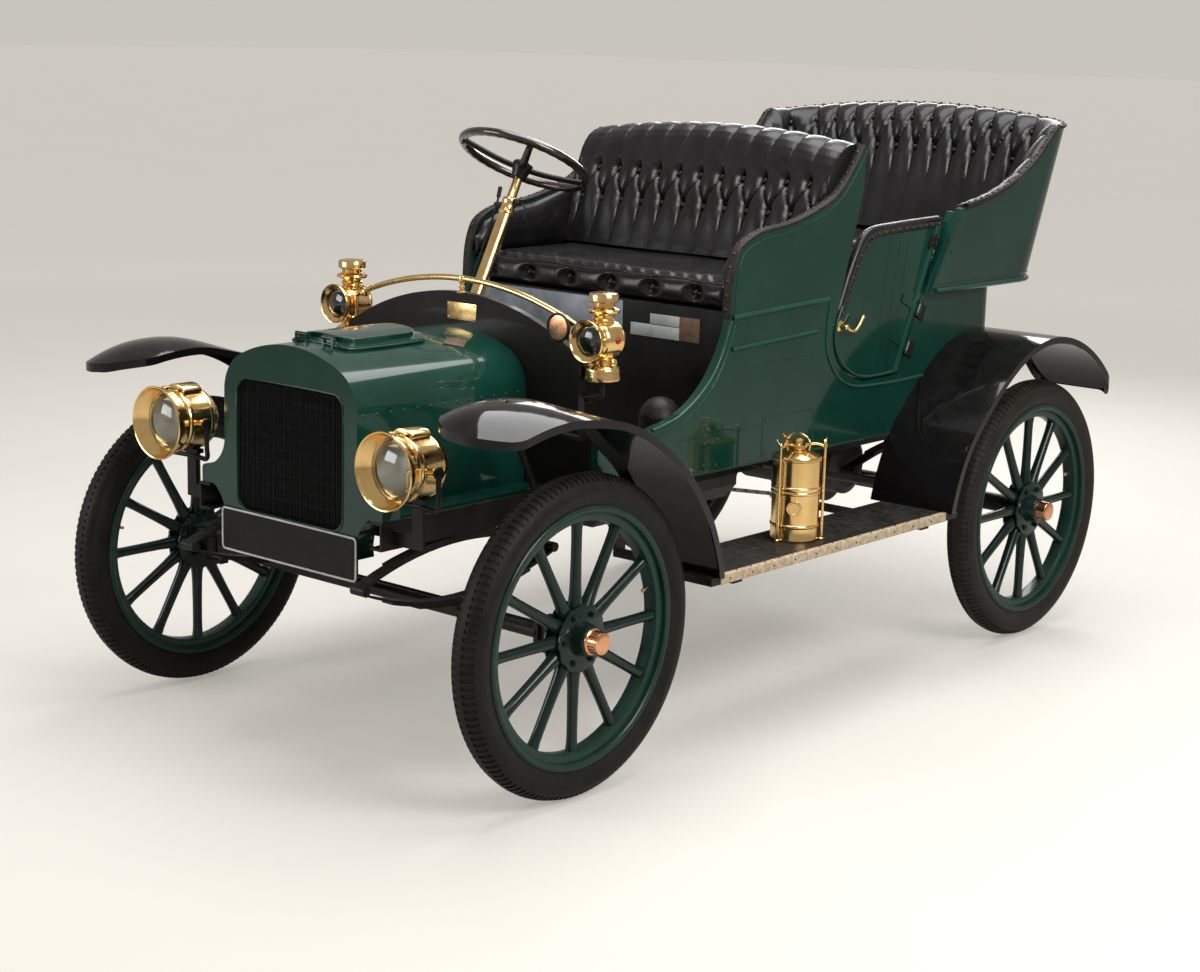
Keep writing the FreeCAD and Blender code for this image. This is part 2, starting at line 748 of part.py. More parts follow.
# Radiator core: a block behind rows of level tubes
def radiator_core():
    front = size("radiator_front")
    half = size("grille_half_width") + 31
    low = size("grille_low") - 29
    high = size("grille_high") + 25
    body = new_body("radiator_core")
    pad(body, "XZ_Plane", front - size("shell_depth"), rounded(half, low, high, 29), 41.7)
    row = pad(body, "YZ_Plane", -size("grille_half_width") + 6,
              trace((-front + 18.4, size("grille_low") + 26), [(-front + 8, size("grille_low") + 34),
                                                              (-front + 18.4, size("grille_low") + 42)]),
              2 * size("grille_half_width") - 12)
    rows = body.newObject("PartDesign::LinearPattern", "core_rows")
    rows.Originals = [row]
    rows.Direction = (origin_feature(body, "Z_Axis"), [""])
    rows.Length = size("grille_high") - size("grille_low") - 68
    rows.Occurrences = 11
    body.Tip = rows
    keep(body, "radiator_core")


# Blank number plate on the foot of the shell
def number_plate():
    body = new_body("number_plate")
    pad(body, "XZ_Plane", size("radiator_front") + 0.3,
        rounded(size("plate_half_width"), size("plate_low"), size("plate_high"), 8), 5)
    keep(body, "number_plate")


# Axis of the lid's hinge, across the hood ahead of the lid
LID_AXIS = (-195, size("hood_crown") + 17)
LID_KNUCKLE = (36, 62)


def across(name, x_low, x_high, radius):
    """Round bar on the lid's hinge axis."""
    return rod(name, (x_low, *LID_AXIS), (x_high, *LID_AXIS), radius)


# Hood: one bent sheet from the shell to the dash, with a foot on each rail and a hole under its lid
def hood():
    sheet_metal = size("hood_sheet")
    top = size("rail_top")
    half = size("hood_half_width")
    start = size("radiator_front") - size("shell_depth")
    outer = arch_steps(0, top + 6)
    inner = arch_steps(sheet_metal, top)
    back = [(half - sheet_metal, top)]
    foot, spring, middle, meet, crown = arch(sheet_metal, top)
    flip = [(-u, v) for u, v in (spring, middle, meet)]
    curves = trace((half, top + 6), *outer, (-half - 78, top + 6), (-half - 78, top), (sheet_metal - half, top),
                   flip[0], [flip[1], flip[2]], [crown, meet], [middle, spring], (half - sheet_metal, top),
                   (half + 78, top), (half + 78, top + 6))
    body = new_body("hood_sheet")
    pad(body, "XZ_Plane", -size("dash_front"), curves, size("dash_front") + start)
    pocket(body, "XY_Plane", size("hood_crown") + 20, plan_rounded(-88, 88, -172, 84, 24), 120)
    pieces = [body]
    y, z = LID_AXIS
    low, high = LID_KNUCKLE
    for side in (1, -1):
        pieces.append(across("lid_pin", side * (low - 8), side * (high + 8), 3))
        for x in (low - 8.5, high + 0.5):
            pieces.append(across("lid_ear", side * x, side * (x + 8), 5))
            pieces.append(box("lid_ear_leg", (min(side * x, side * (x + 8)), y - 5, size("hood_crown") - 11),
                              (max(side * x, side * (x + 8)), y - 0.5, z)))
    keep(fuse("hood", pieces), "hood")


def plan_rounded(x_low, x_high, y_low, y_high, radius):
    r = radius
    k = r * (1 - math.sqrt(0.5))
    return trace((x_high, y_low + r), (x_high, y_high - r), [(x_high - k, y_high - k), (x_high - r, y_high)],
                 (x_low + r, y_high), [(x_low + k, y_high - k), (x_low, y_high - r)], (x_low, y_low + r),
                 [(x_low + k, y_low + k), (x_low + r, y_low)], (x_high - r, y_low),
                 [(x_high - k, y_low + k), (x_high, y_low + r)])


# Lid over the fillers, bowed like the hood and hinged at its front edge
def hood_lid():
    gap = size("seat_gap")
    radius = size("crown_radius")
    centre = size("hood_crown") - radius
    shell = doc.addObject("Part::Cylinder", "lid_outer")
    inner = doc.addObject("Part::Cylinder", "lid_inner")
    for drum, grow in ((shell, gap + 10), (inner, gap)):
        drum.Radius = radius + grow
        drum.Height = 600
        drum.Placement = Placement(Vector(0, -300, centre), Rotation(Vector(1, 0, 0), -90))
    outline = new_body("lid_outline")
    pad(outline, "XY_Plane", size("hood_crown") - 80, plan_rounded(-108, 108, -195, 106, 40), 120)
    pieces = [common("lid_plate", [cut("lid_shell", shell, inner), outline])]
    y, z = LID_AXIS
    low, high = LID_KNUCKLE
    bores = []
    for side in (1, -1):
        pieces.append(across("lid_knuckle", side * low, side * high, 5))
        pieces.append(box("lid_leaf", (min(side * low, side * high), y, z - 14),
                          (max(side * low, side * high), y + 12, z - 2)))
        bores.append(across("lid_bore", side * (low - 5), side * (high + 5), "3 + sizes.running_clearance"))
    keep(cut("hood_lid", fuse("lid_pieces", pieces), fuse("lid_bores", bores)), "hood_lid")


# Tank under the hood on two cross members, with the two filler necks that the lid covers
def hood_tank():
    body = new_body("tank_shell")
    pad(body, "XZ_Plane", -288, rounded(215, size("rail_top") - 8 + size("seat_gap"), 985, 60), 480)
    necks = [rod("filler_neck", (x, -60, 980), (x, -60, 1012), 26) for x in (-48, 48)]
    keep(fuse("hood_tank", [body] + necks), "hood_tank")


radiator_shell()
radiator_core()
number_plate()
hood()
hood_lid()
hood_tank()


# Dash board: wide foot, narrower arched top
def dash():
    half = size("dash_half_width")
    body = new_body("dash")
    corner = size("dash_shoulder")
    outline = trace((inner_side, size("rail_top")), (inner_side, 815), (half, 830), (half, corner - 30),
                    [(half - 5, corner - 10), (half - 19, corner)], [(0, size("dash_crown")), (19 - half, corner)],
                    [(5 - half, corner - 10), (-half, corner - 30)], (-half, 830), (-inner_side, 815),
                    (-inner_side, size("rail_top")))
    pad(body, "XZ_Plane", -size("dash_front") - size("dash_thickness"), outline, "sizes.dash_thickness")
    keep(body, "dash")


# Brass rail bowed over the dash from lamp to lamp, on one post
def dash_rail():
    y = size("dash_front") + size("dash_thickness") / 2
    end = size("side_lamp_x") - 58
    low = size("side_lamp_z") + 30
    crown = size("rail_crown")
    tube_radius = size("rail_tube_radius")
    path = Part.Wire([Part.Arc(Vector(-end, y, low), Vector(0, y, crown), Vector(end, y, low)).toShape()])
    first = path.Edges[0].valueAt(path.Edges[0].FirstParameter)
    heading = path.Edges[0].tangentAt(path.Edges[0].FirstParameter)
    ring = Part.Wire([Part.makeCircle(tube_radius, first, heading)])
    tube = path.makePipeShell([ring], True, True)
    base = size("dash_crown") + size("seat_gap")
    post = Part.makeCylinder(6, crown - base, Vector(0, y, base), Vector(0, 0, 1))
    shapes = [post]
    for side in (1, -1):
        foot = Part.makeCylinder(6, low - 1041, Vector(side * end, y, 1041), Vector(0, 0, 1))
        shapes.append(foot)
    keep(solid_feature("dash_rail", tube.fuse(shapes).removeSplitter()), "dash_rail")


# Acetylene headlamps: bell mouthed bezel, barrel with a vent hood, burner knob
def headlamps():
    lamps = []
    z = size("headlamp_z")
    front = -size("headlamp_front")
    bezel = size("headlamp_bezel_radius")
    barrel = size("headlamp_barrel_radius")
    for side in (1, -1):
        x = side * size("headlamp_x")
        body = new_body("headlamp_body")
        revolve(body, "YZ_Plane", trace((front + 20, 0), (front + 20, bezel - 22), (front, bezel - 14), (front, bezel),
                                        (front + 16, bezel), (front + 42, barrel + 4), (front + 130, barrel),
                                        (front + 134, barrel - 12), (front + 200, barrel - 16),
                                        (front + 224, barrel - 50), (front + 224, 0)), "H_Axis")
        body.Placement.Base = Vector(x, 0, z)
        vent = box("headlamp_vent", (x - 34, front + 60, z + barrel - 20), (x + 34, front + 150, z + barrel + 17))
        knob = rod("burner_knob", (x, front + 220, z), (x, front + 240, z), 13)
        lamps.append(fuse("headlamp", [body, vent, knob]))
    keep(gather("headlamps", lamps), "headlamps")


# Oil side lamps: round font, glass barrel, tall ringed chimney
def side_lamps():
    lamps = []
    y, z = size("side_lamp_y"), size("side_lamp_z")
    bezel = size("side_lamp_bezel_radius")
    for side in (1, -1):
        x = side * size("side_lamp_x")
        body = new_body("side_lamp_body")
        revolve(body, "XZ_Plane", trace((0, z - 110), (34, z - 110), (38, z - 96), (34, z - 72), (26, z - 66),
                                        (26, z - 56), (40, z - 44), (42, z + 20), (32, z + 46), (22, z + 54),
                                        (22, z + 62), (33, z + 68), (33, z + 76), (20, z + 82), (20, z + 94),
                                        (29, z + 98), (29, z + 117), (0, z + 117)), "V_Axis")
        body.Placement.Base = Vector(x, y, 0)
        mouth = rod("side_lamp_mouth", (x, y, z), (x, y - 58, z), bezel - 12)
        rim = rod("side_lamp_rim", (x, y - 70, z), (x, y - 52, z), bezel)
        well = rod("side_lamp_well", (x, y - 80, z), (x, y - 64, z), bezel - 10)
        lamps.append(cut("side_lamp", fuse("side_lamp_shell", [body, mouth, rim]), well))
    keep(gather("side_lamps", lamps), "side_lamps")


# Clear lenses of all four lamps, seated in their bezels
def lamp_lenses():
    gap = size("seat_gap")
    front = -size("headlamp_front")
    glasses = []
    for side in (1, -1):
        x = side * size("headlamp_x")
        z = size("headlamp_z")
        radius = size("headlamp_bezel_radius") - 23
        glasses.append(rod("headlamp_glass", (x, front + 13, z), (x, front + 20 - gap, z), radius))
        x = side * size("side_lamp_x")
        y = size("side_lamp_y") - 64
        glasses.append(rod("side_lamp_glass", (x, y - 4, size("side_lamp_z")), (x, y - gap, size("side_lamp_z")),
                           size("side_lamp_bezel_radius") - 11))
    keep(gather("lamp_lenses", glasses), "lamp_lenses")


# Forked iron under each headlamp, bolted to the frame, and an arm from the dash under each side lamp
def lamp_brackets():
    irons = []
    z = size("headlamp_z")
    barrel = size("headlamp_barrel_radius")
    rail_outer = size("rail_x") + size("rail_width") / 2
    for side_name, side in (("left", 1), ("right", -1)):
        x = side * size("headlamp_x")
        y = -245
        post = box("lamp_post", (x - 18, y - 4, 610), (x + 18, y + 4, z - barrel - 5))
        seat = z - barrel - 1.1 - size("seat_gap")
        saddle = box("lamp_saddle", (x - 30, y - 10, seat - 11), (x + 30, y + 12, seat))
        arm = box("lamp_arm", (min(side * rail_outer, x), y - 4, 610), (max(side * rail_outer, x), y + 4, 645))
        irons.append(fuse(f"headlamp_iron_{side_name}", [post, saddle, arm]))
        lamp = side * size("side_lamp_x")
        lamp_y, foot = size("side_lamp_y"), size("side_lamp_z") - 110
        back = size("dash_front") + size("dash_thickness")
        stem = rod("lamp_stem", (lamp, lamp_y, foot - 40), (lamp, lamp_y, foot), 8)
        reach = rod("lamp_reach", (lamp, lamp_y, foot - 36), (side * 405, back + 9, foot - 60), 8)
        plate = box("lamp_plate", (min(side * 390, side * 425), back, foot - 80),
                    (max(side * 390, side * 425), back + 8, foot - 40))
        irons.append(fuse(f"side_lamp_iron_{side_name}", [stem, reach, plate]))
    keep(gather("lamp_brackets", irons), "lamp_brackets")


dash()
dash_rail()
headlamps()
side_lamps()
lamp_lenses()
lamp_brackets()


def board_rear():
    """Rear end of the running boards, a fixed distance ahead of the rear axle."""
    return size("wheelbase") - size("board_rear_inset")


# Outer edge measured from the front axle
FRONT_FENDER = [(-374, 906), (-300, 926), (-200, 949), (-100, 958), (0, 949), (80, 934), (160, 904), (234, 860),
                (302, 809), (362, 753), (409, 691), (447, 630), (475, 564), (494, 504), (498, 470)]
# At each of those points: how much the sheet bulges between its edges, and how far its inner edge stands higher
FRONT_CROWN = [(22, 22), (40, 34), (36, 28), (24, 20), (11, 8), (3, 2)] + [(0, 0)] * 9
# Measured from the rear axle
REAR_FENDER = [(-550, 470), (-516, 576), (-466, 668), (-381, 760), (-278, 848), (-141, 925), (7, 951),
               (168, 921), (309, 844), (412, 743)]


def sheet_loft(name, side, near_x, far_x, outline, flat_across):
    """Side view outline carried across the fender: straight, or through four sections where the sheet is crowned."""
    body = new_body(name)
    if flat_across:
        pad(body, "YZ_Plane", min(side * near_x, side * far_x), outline(near_x), abs(far_x - near_x))
        return body
    stations = [near_x + (far_x - near_x) * step / 3 for step in range(4)]
    sections = [sketch(body, "YZ_Plane", side * x, outline(x)) for x in stations]
    loft = body.newObject("PartDesign::AdditiveLoft", name + "_loft")
    loft.Profile = sections[0]
    loft.Sections = sections[1:]
    return body


def fender(label, side, line, crown, inner, corners, tip):
    """Bent sheet that follows a side view line, with a turned down lip along its edge and round tip corners."""
    outer = size("fender_outer")
    lip = size("fender_lip")
    sheet_metal = size("fender_sheet")

    def between(top, bottom):
        """Section between two depths under the line, at a distance from the car's middle."""
        upper = offset_points(line, -top) if top else line
        lower = offset_points(line, -bottom)

        def section(x):
            way_in = (outer - x) / (outer - inner)
            lifts = [bulge * 4 * way_in * (1 - way_in) + edge * way_in for bulge, edge in crown]
            above = [(y, z + lift) for (y, z), lift in zip(upper, lifts)]
            below = [(y, z + lift) for (y, z), lift in zip(lower, lifts)]
            return trace(above[0], above[1:], below[-1], below[-2::-1])
        return section

    flat_across = not any(bulge or edge for bulge, edge in crown)
    band = sheet_loft(label + "_band", side, outer, inner, between(0, lip), flat_across)
    hollow = sheet_loft(label + "_hollow", side, outer + 10, inner - 10, between(sheet_metal, lip + 6), flat_across)
    ends = sorted([line[-1][0] if tip < 0 else line[0][0], tip])
    plan = new_body(label + "_plan")
    foot = size("board_top") - size("foot_rebate") + size("seat_gap")
    pad(plan, "XY_Plane", foot, fender_plan(side, inner, outer, *ends, corners, 0), 800)
    inside = new_body(label + "_inside")
    pad(inside, "XY_Plane", foot - 10, fender_plan(side, inner, outer, *ends, corners, sheet_metal), 800)
    blank = common(label + "_blank", [band, plan])
    waste = common(label + "_waste", [hollow, inside])
    keep(cut(label, blank, waste), label)


def fender_plan(side, inner, outer, y_low, y_high, corners, inset):
    """Plan outline: square where the fender meets the board, round at its free tip by a share of its width."""
    a = inner + inset
    b = outer - inset
    r = corners * (outer - inner) - inset
    k = r * (1 - math.sqrt(0.5))
    if y_low < 0:
        tip = y_low + inset
        points = [(b, y_high + 20), (b, tip + r), [(b - k, tip + k), (b - r, tip)], (a + r, tip),
                  [(a + k, tip + k), (a, tip + r)], (a, y_high + 20)]
    else:
        tip = y_high - inset
        points = [(b, y_low - 20), (b, tip - r), [(b - k, tip - k), (b - r, tip)], (a + r, tip),
                  [(a + k, tip - k), (a, tip - r)], (a, y_low - 20)]
    turned = [tuple_or_list(step, side) for step in points]
    return trace(turned[0], *turned[1:])


def tuple_or_list(step, side):
    if isinstance(step, tuple):
        return (side * step[0], step[1])
    return [(side * u, v) for u, v in step]


def running_boards():
    boards = []
    top = size("board_top")
    for side in (1, -1):
        x_low = min(side * size("board_inner"), side * size("board_outer"))
        x_high = x_low + size("board_outer") - size("board_inner")
        front = size("board_front")
        rear = board_rear()
        low = top - size("foot_rebate")
        plank = box("board_plank", (x_low, front, top - size("board_thickness")), (x_high, rear, top))
        rebates = [box("front_rebate", (x_low - 1, front - 1, low), (x_high + 1, front + size("front_foot"), top + 1)),
                   box("rear_rebate", (x_low - 1, rear - size("rear_foot"), low), (x_high + 1, rear + 1, top + 1))]
        boards.append(cut("running_board", plank, fuse("board_rebates", rebates)))
    keep(gather("running_boards", boards), "running_boards")


# Irons that carry the boards and fenders from the frame
def body_irons():
    irons = []
    rail_outer = size("rail_x") + size("rail_width") / 2
    under = size("board_top") - size("board_thickness")
    for side_name, side in (("left", 1), ("right", -1)):
        for number, y in enumerate((size("board_front") + 138, board_rear() - 140)):
            hanger = box("board_hanger", (min(side * rail_outer, side * (rail_outer + 10)), y - 20, under - 16),
                         (max(side * rail_outer, side * (rail_outer + 10)), y + 20, rail_bottom + 50))
            foot = box("board_foot", (min(side * rail_outer, side * 750), y - 20, under - 16),
                       (max(side * rail_outer, side * 750), y + 20, under))
            irons.append(fuse(f"board_iron_{side_name}_{number}", [hanger, foot]))
        front = bent_rod("front_iron", [(side * (rail_outer + 9), 270, 640), (side * (rail_outer + 9), 150, 862),
                                        (side * 590, 150, 862), (side * 590, 150, 898)], 9)
        irons.append(fuse(f"fender_iron_front_{side_name}", front))
        crown_y = size("wheelbase") + 168
        rear = bent_rod("rear_iron", [(side * (rail_outer + 9), crown_y + 98, 640), (side * 460, crown_y, 880),
                                      (side * 620, crown_y, 880), (side * 620, crown_y, 912)], 9)
        irons.append(fuse(f"fender_iron_rear_{side_name}", rear))
    keep(gather("body_irons", irons), "body_irons")


for side_name, side in (("left", 1), ("right", -1)):
    fender(f"front_fender_{side_name}", side, FRONT_FENDER, FRONT_CROWN, size("fender_inner"), 0.45,
           -size("fender_tip"))
    rear_line = [(size("wheelbase") + y, z) for y, z in REAR_FENDER]
    fender(f"rear_fender_{side_name}", side, rear_line, [(0, 0)] * len(rear_line),
           size("body_half_width") + size("seat_gap"), 0.21, rear_line[-1][0])
running_boards()
body_irons()


# Acetylene generator on the left board, clamped by three rods
def gas_generator():
    x, y, base = 650, 985, size("board_top")
    body = new_body("generator_can")
    revolve(body, "XZ_Plane", trace((0, base), (46, base), (48, base + 6), (48, base + 222), (46, base + 228),
                                    (46, base + 258), (40, base + 266), (18, base + 272), (14, base + 288),
                                    (0, base + 288)), "V_Axis")
    body.Placement.Base = Vector(x, y, 0)
    clamps = []
    for number in range(3):
        turn = math.radians(30 + 120 * number)
        cx, cy = x + 52 * math.cos(turn), y + 52 * math.sin(turn)
        clamps.append(rod("clamp_rod", (cx, cy, base + 10), (cx, cy, base + 284), 4.5))
        clamps.append(rod("clamp_arm", (x, y, base + 276), (cx, cy, base + 276), 4.5))
    keep(fuse("gas_generator", [body] + clamps), "gas_generator")


SEAT_SIDE = [(855, 1082), (862, 1180), (876, 1238), (905, 1277), (984, 1308), (1122, 1325), (1240, 1355),
             (1335, 1393), (1413, 1466), (1462, 1530)]
COWL_SIDE = [(535, 822), (600, 834), (659, 852), (743, 903), (808, 978), (855, 1082)]


# Body side in one piece: low at the dash, sweeping up into the seat's arm, cut away for the door, low under the tub
def body_side(label, side):
    gap = size("door_gap")
    low = size("rail_top")
    rear = size("body_rear") - size("body_corner_radius")
    top = size("tub_bottom")
    front_edge = offset_points([(1384, 1088)] + DOOR_FRONT[2:], -gap)
    corner = (DOOR_REAR_LOW[0] + gap, DOOR_REAR_LOW[1] - gap)
    outline = trace((size("dash_front"), low), (rear, low), (rear, top), (door_line(top, gap), top), corner,
                    (DOOR_FRONT[-1][0], DOOR_FRONT[-1][1] - gap), front_edge[-2::-1], (1377, 1105), (1422, 1251),
                    (1469, 1407), (1469, 1534), (1462, 1530), SEAT_SIDE[-2::-1], COWL_SIDE[-2::-1],
                    (size("dash_front"), 815))
    body = new_body(label)
    half = size("body_half_width")
    inner = half - size("panel_thickness")
    pad(body, "YZ_Plane", min(side * half, side * inner), outline, "sizes.panel_thickness")
    keep(body, label)


# Doors hang on two pins behind them, on a line that leans back like their rear edge
HINGES = (930, 1040)


def hinge_place(side, z):
    """Local frame of a hinge: x away from the car's middle, y to the rear, z up along the leaning pin."""
    slope = (DOOR_REAR_HIGH[0] - DOOR_REAR_LOW[0]) / (DOOR_REAR_HIGH[1] - DOOR_REAR_LOW[1])
    lean = math.degrees(math.atan(slope))
    offset = size("body_half_width") + size("hinge_radius") + size("seat_gap")
    return Placement(Vector(side * offset, door_line(z, size("door_gap") / 2), z), Rotation(Vector(1, 0, 0), -lean))


def local_box(name, place, low, high):
    part = box(name, (0, 0, 0), tuple(b - a for a, b in zip(low, high)))
    part.Placement = place.multiply(Placement(Vector(*low), Rotation()))
    return part


def local_rod(name, place, start, end, radius):
    part = doc.addObject("Part::Cylinder", name)
    bind(part, "Radius", radius)
    part.Height = end - start
    part.Placement = place.multiply(Placement(Vector(0, 0, start), Rotation()))
    return part


def door(label, side):
    half = size("body_half_width")
    inner = half - size("panel_thickness")
    slab = new_body(label + "_panel")
    pad(slab, "YZ_Plane", min(side * half, side * inner),
        trace(DOOR_REAR_LOW, DOOR_REAR_HIGH, DOOR_TOP_FRONT, DOOR_FRONT), "sizes.panel_thickness")
    pieces = [slab]
    bores = []
    radius = size("hinge_radius")
    for z in HINGES:
        place = hinge_place(side, z)
        face = -side * (radius + size("seat_gap"))
        pieces.append(local_rod("door_barrel", place, -14, 14, "sizes.hinge_radius"))
        pieces.append(local_box("door_strap", place, (min(face, face + side * 4), -90, -12),
                                (max(face, face + side * 4), 0, 12)))
        bores.append(local_rod("barrel_bore", place, -20, 20, "sizes.hinge_pin_radius + sizes.running_clearance"))
    keep(cut(label, fuse(label + "_pieces", pieces), fuse(label + "_bores", bores)), label)


# Fixed halves of the door hinges, each with its pin, on the body sides
def door_hinges():
    hinges = []
    radius = size("hinge_radius")
    for side_name, side in (("left", 1), ("right", -1)):
        for z in HINGES:
            place = hinge_place(side, z)
            face = -side * radius
            pieces = [local_rod("hinge_pin", place, -24, 24, "sizes.hinge_pin_radius"),
                      local_box("hinge_leaf", place, (min(face, face + side * 4), 11, -24),
                                (max(face, face + side * 4), 46, 24))]
            for low in (-24, 14.5):
                pieces.append(local_rod("hinge_ear", place, low, low + 9.5, "sizes.hinge_radius"))
                pieces.append(local_box("hinge_arm", place, (min(face, face + side * 4), 0, low),
                                        (max(face, face + side * 4), 20, low + 9.5)))
            hinges.append(fuse(f"hinge_{side_name}_{z}", pieces))
    keep(gather("door_hinges", hinges), "door_hinges")


def panel_corner(inset):
    """Round corner of the lower body at the back: half width, rear face, radius and the arc's middle."""
    radius = size("body_corner_radius") - inset
    middle = radius * (1 - math.sqrt(0.5))
    return size("body_half_width") - inset, size("body_rear") - inset, radius, middle


# Floor boards from the dash to the back, with the hole that the steering column passes
def floor():
    low = size("rail_top")
    column = column_axis()
    start = size("dash_front") + size("dash_thickness")
    rear = size("body_rear")
    r = size("body_corner_radius")
    a, b, q, k = panel_corner(size("panel_thickness"))
    slab = new_body("floor_boards")
    pad(slab, "XY_Plane", low, trace((a, start), (a, rear - r), [(a - k, b - k), (a - q, b)], (q - a, b),
                                     [(k - a, b - k), (-a, rear - r)], (-a, start)), floor_top - low)
    hole = rod("column_hole", tuple(column[0] - column[1] * 100), tuple(column[0] + column[1] * 400), 26)
    keep(cut("floor", slab, hole), "floor")


def column_axis():
    """Foot of the steering column under the floor, and the direction up it."""
    rake = math.radians(size("column_rake"))
    up = Vector(0, math.sin(rake), math.cos(rake))
    hub = Vector(-size("column_x"), size("wheel_hub_y"), size("wheel_hub_z"))
    drop = (hub.z - 640) / up.z
    return hub - up * drop, up


# Seat box of the front row: front board, top board, sides open to the body
def front_seat_box():
    front = size("seat_front")
    top = size("seat_board_top")
    body = new_body("front_seat_box")
    outline = trace((front, floor_top), (front, top), (1325, top), (1325, floor_top), (1305, floor_top),
                    (1305, top - 20), (front + 20, top - 20), (front + 20, floor_top))
    pad(body, "YZ_Plane", -inner_side, outline, 2 * inner_side)
    keep(body, "front_seat_box")


def crown_cutter(name, crown, drop, half, y_low, y_high):
    """Everything above a gently crowned line across the car."""
    body = new_body(name)
    outline = trace((half, crown - drop), (half, crown + 200), (-half, crown + 200), (-half, crown - drop),
                    [(0, crown), (half, crown - drop)])
    pad(body, "XZ_Plane", -y_high, outline, y_high - y_low)
    return body


# Board behind the front backrest
def seat_back_panel():
    top = size("seat_board_top")
    crown = size("seat_back_crown")
    body = new_body("seat_back_board")
    outline = trace((1325.3, floor_top), (1344, floor_top), (1344, top), (1472, 1480), (1472, crown + 10),
                    (1452, crown + 10), (1452, 1484), (1325.3, top + 2))
    pad(body, "YZ_Plane", -inner_side, outline, 2 * inner_side)
    keep(cut("seat_back_panel", body, crown_cutter("seat_back_crown_cut", crown, 42, 520, 1300, 1500)),
         "seat_back_panel")


# Leather covered pieces: plain closed solids of the right size
def front_cushion():
    gap = size("seat_gap")
    base = size("seat_board_top") + gap
    top = base + size("cushion_height")
    front = size("seat_front") - 20
    body = new_body("front_cushion")
    outline = trace((front + 12, base), (front, base + 24), (front, top - 24), [(front + 9, top - 8), (front + 28, top)],
                    (1320, top), (1320, base))
    half = inner_side - 1
    pad(body, "YZ_Plane", -half, outline, 2 * half)
    keep(body, "front_cushion")


def back_pad(name, ahead):
    """Leaning pad of the front backrest; its front face can be moved ahead to trim what meets it."""
    gap = size("seat_gap")
    base = size("seat_board_top") + size("cushion_height") + 2
    crown = size("seat_back_crown")
    half = inner_side - gap
    body = new_body(name)
    rear_low = 1325.3 + (base - size("seat_board_top")) * (1452 - 1325.3) / 384 - 1
    outline = trace((1245 - ahead, base), (rear_low, base), (1451, 1484), (1451, crown + 10),
                    (1398 - ahead, crown + 10), [(1350 - ahead, 1480), (1294 - ahead, 1330), (1245 - ahead, base)])
    pad(body, "YZ_Plane", -half, outline, 2 * half)
    return body


def front_backrest():
    crown = size("seat_back_crown")
    keep(cut("front_backrest", back_pad("front_back_pad", 0),
             crown_cutter("front_rest_crown", crown, 42, 520, 1200, 1500)), "front_backrest")


# Padded arms of the front seat, inside the body sides
def front_arm_pads():
    base = size("seat_board_top") + size("cushion_height") + 2
    half = inner_side - size("seat_gap")
    arms = []
    for side in (1, -1):
        arm = new_body("front_arm_pad")
        arm_line = trace((880, base), (884, 1230), [(910, 1268), (986, 1300), (1122, 1317)],
                         [(1238, 1346), (1330, 1384), (1405, 1455)], (1440, 1480), (1330, base))
        pad(arm, "YZ_Plane", min(side * half, side * (half - 45)), arm_line, 45)
        arms.append(cut("front_arm", arm, back_pad("arm_trim", 2)))
    keep(gather("front_arm_pads", arms), "front_arm_pads")


gas_generator()
floor()
body_side("body_side_left", 1)
body_side("body_side_right", -1)
door("door_left", 1)
door("door_right", -1)
door_hinges()
front_seat_box()
seat_back_panel()
front_cushion()
front_backrest()
front_arm_pads()


def tub_wire(z, inset, front):
    """Horseshoe in plan at a height: straight sides, round rear corners, the walls leaning out as they rise."""
    rise = (z - size("tub_bottom")) / (size("tub_crown") - size("tub_bottom"))
    half = size("tub_bottom_half_width") + rise * (size("tub_top_half_width") - size("tub_bottom_half_width")) - inset
    rear = size("tub_bottom_rear") + rise * (size("tub_rear") - size("tub_bottom_rear")) - inset
    r = size("tub_corner_radius") - inset
    k = r * (1 - math.sqrt(0.5))
    curves = trace((half, front), (half, rear - r), [(half - k, rear - k), (half - r, rear)], (r - half, rear),
                   [(k - half, rear - k), (-half, rear - r)], (-half, front))
    wire = Part.Wire([curve.toShape() for curve in curves])
    wire.translate(Vector(0, 0, z))
    return wire


def tub_solid(low, high, inset, front):
    return Part.makeLoft([tub_wire(low, inset, front), tub_wire(high, inset, front)], True, True)


# Distance behind the front axle, and the share of the tub's height
RIM_SHARES = [(1700, 0.4497), (1857, 0.4649), (2055, 0.5161), (2200, 0.592), (2315, 0.7021), (2399, 0.8463),
              (2450, 0.9488)]
RIM_LINE = [(y, size("tub_bottom") + share * (size("tub_crown") - size("tub_bottom"))) for y, share in RIM_SHARES]


def above_rim(lower):
    """Everything above the tub's rim: the sweep of its sides and the gentle crown of its back."""
    line = [(y, z - lower) for y, z in RIM_LINE]
    crown = size("tub_crown") - lower
    curves = trace(line[0], line[1:], (2500, crown + 60), (2700, crown + 60), (2700, crown + 290),
                   (1700, crown + 290))
    face = Part.Face(Part.Wire([curve.toShape() for curve in curves]))
    face.Placement = Placement(Vector(0, 0, 0), Rotation(Vector(1, 1, 1), 120)).multiply(face.Placement)
    face.translate(Vector(-700, 0, 0))
    sweep = face.extrude(Vector(1400, 0, 0))
    arc = trace((700, crown - 68), (700, crown + 300), (-700, crown + 300), (-700, crown - 68),
                [(0, crown), (700, crown - 68)])
    cap = Part.Face(Part.Wire([curve.toShape() for curve in arc]))
    cap.Placement = Placement(Vector(0, 0, 0), Rotation(Vector(1, 0, 0), 90)).multiply(cap.Placement)
    cap.translate(Vector(0, 1700, 0))
    return sweep.fuse(cap.extrude(Vector(0, 1000, 0)))


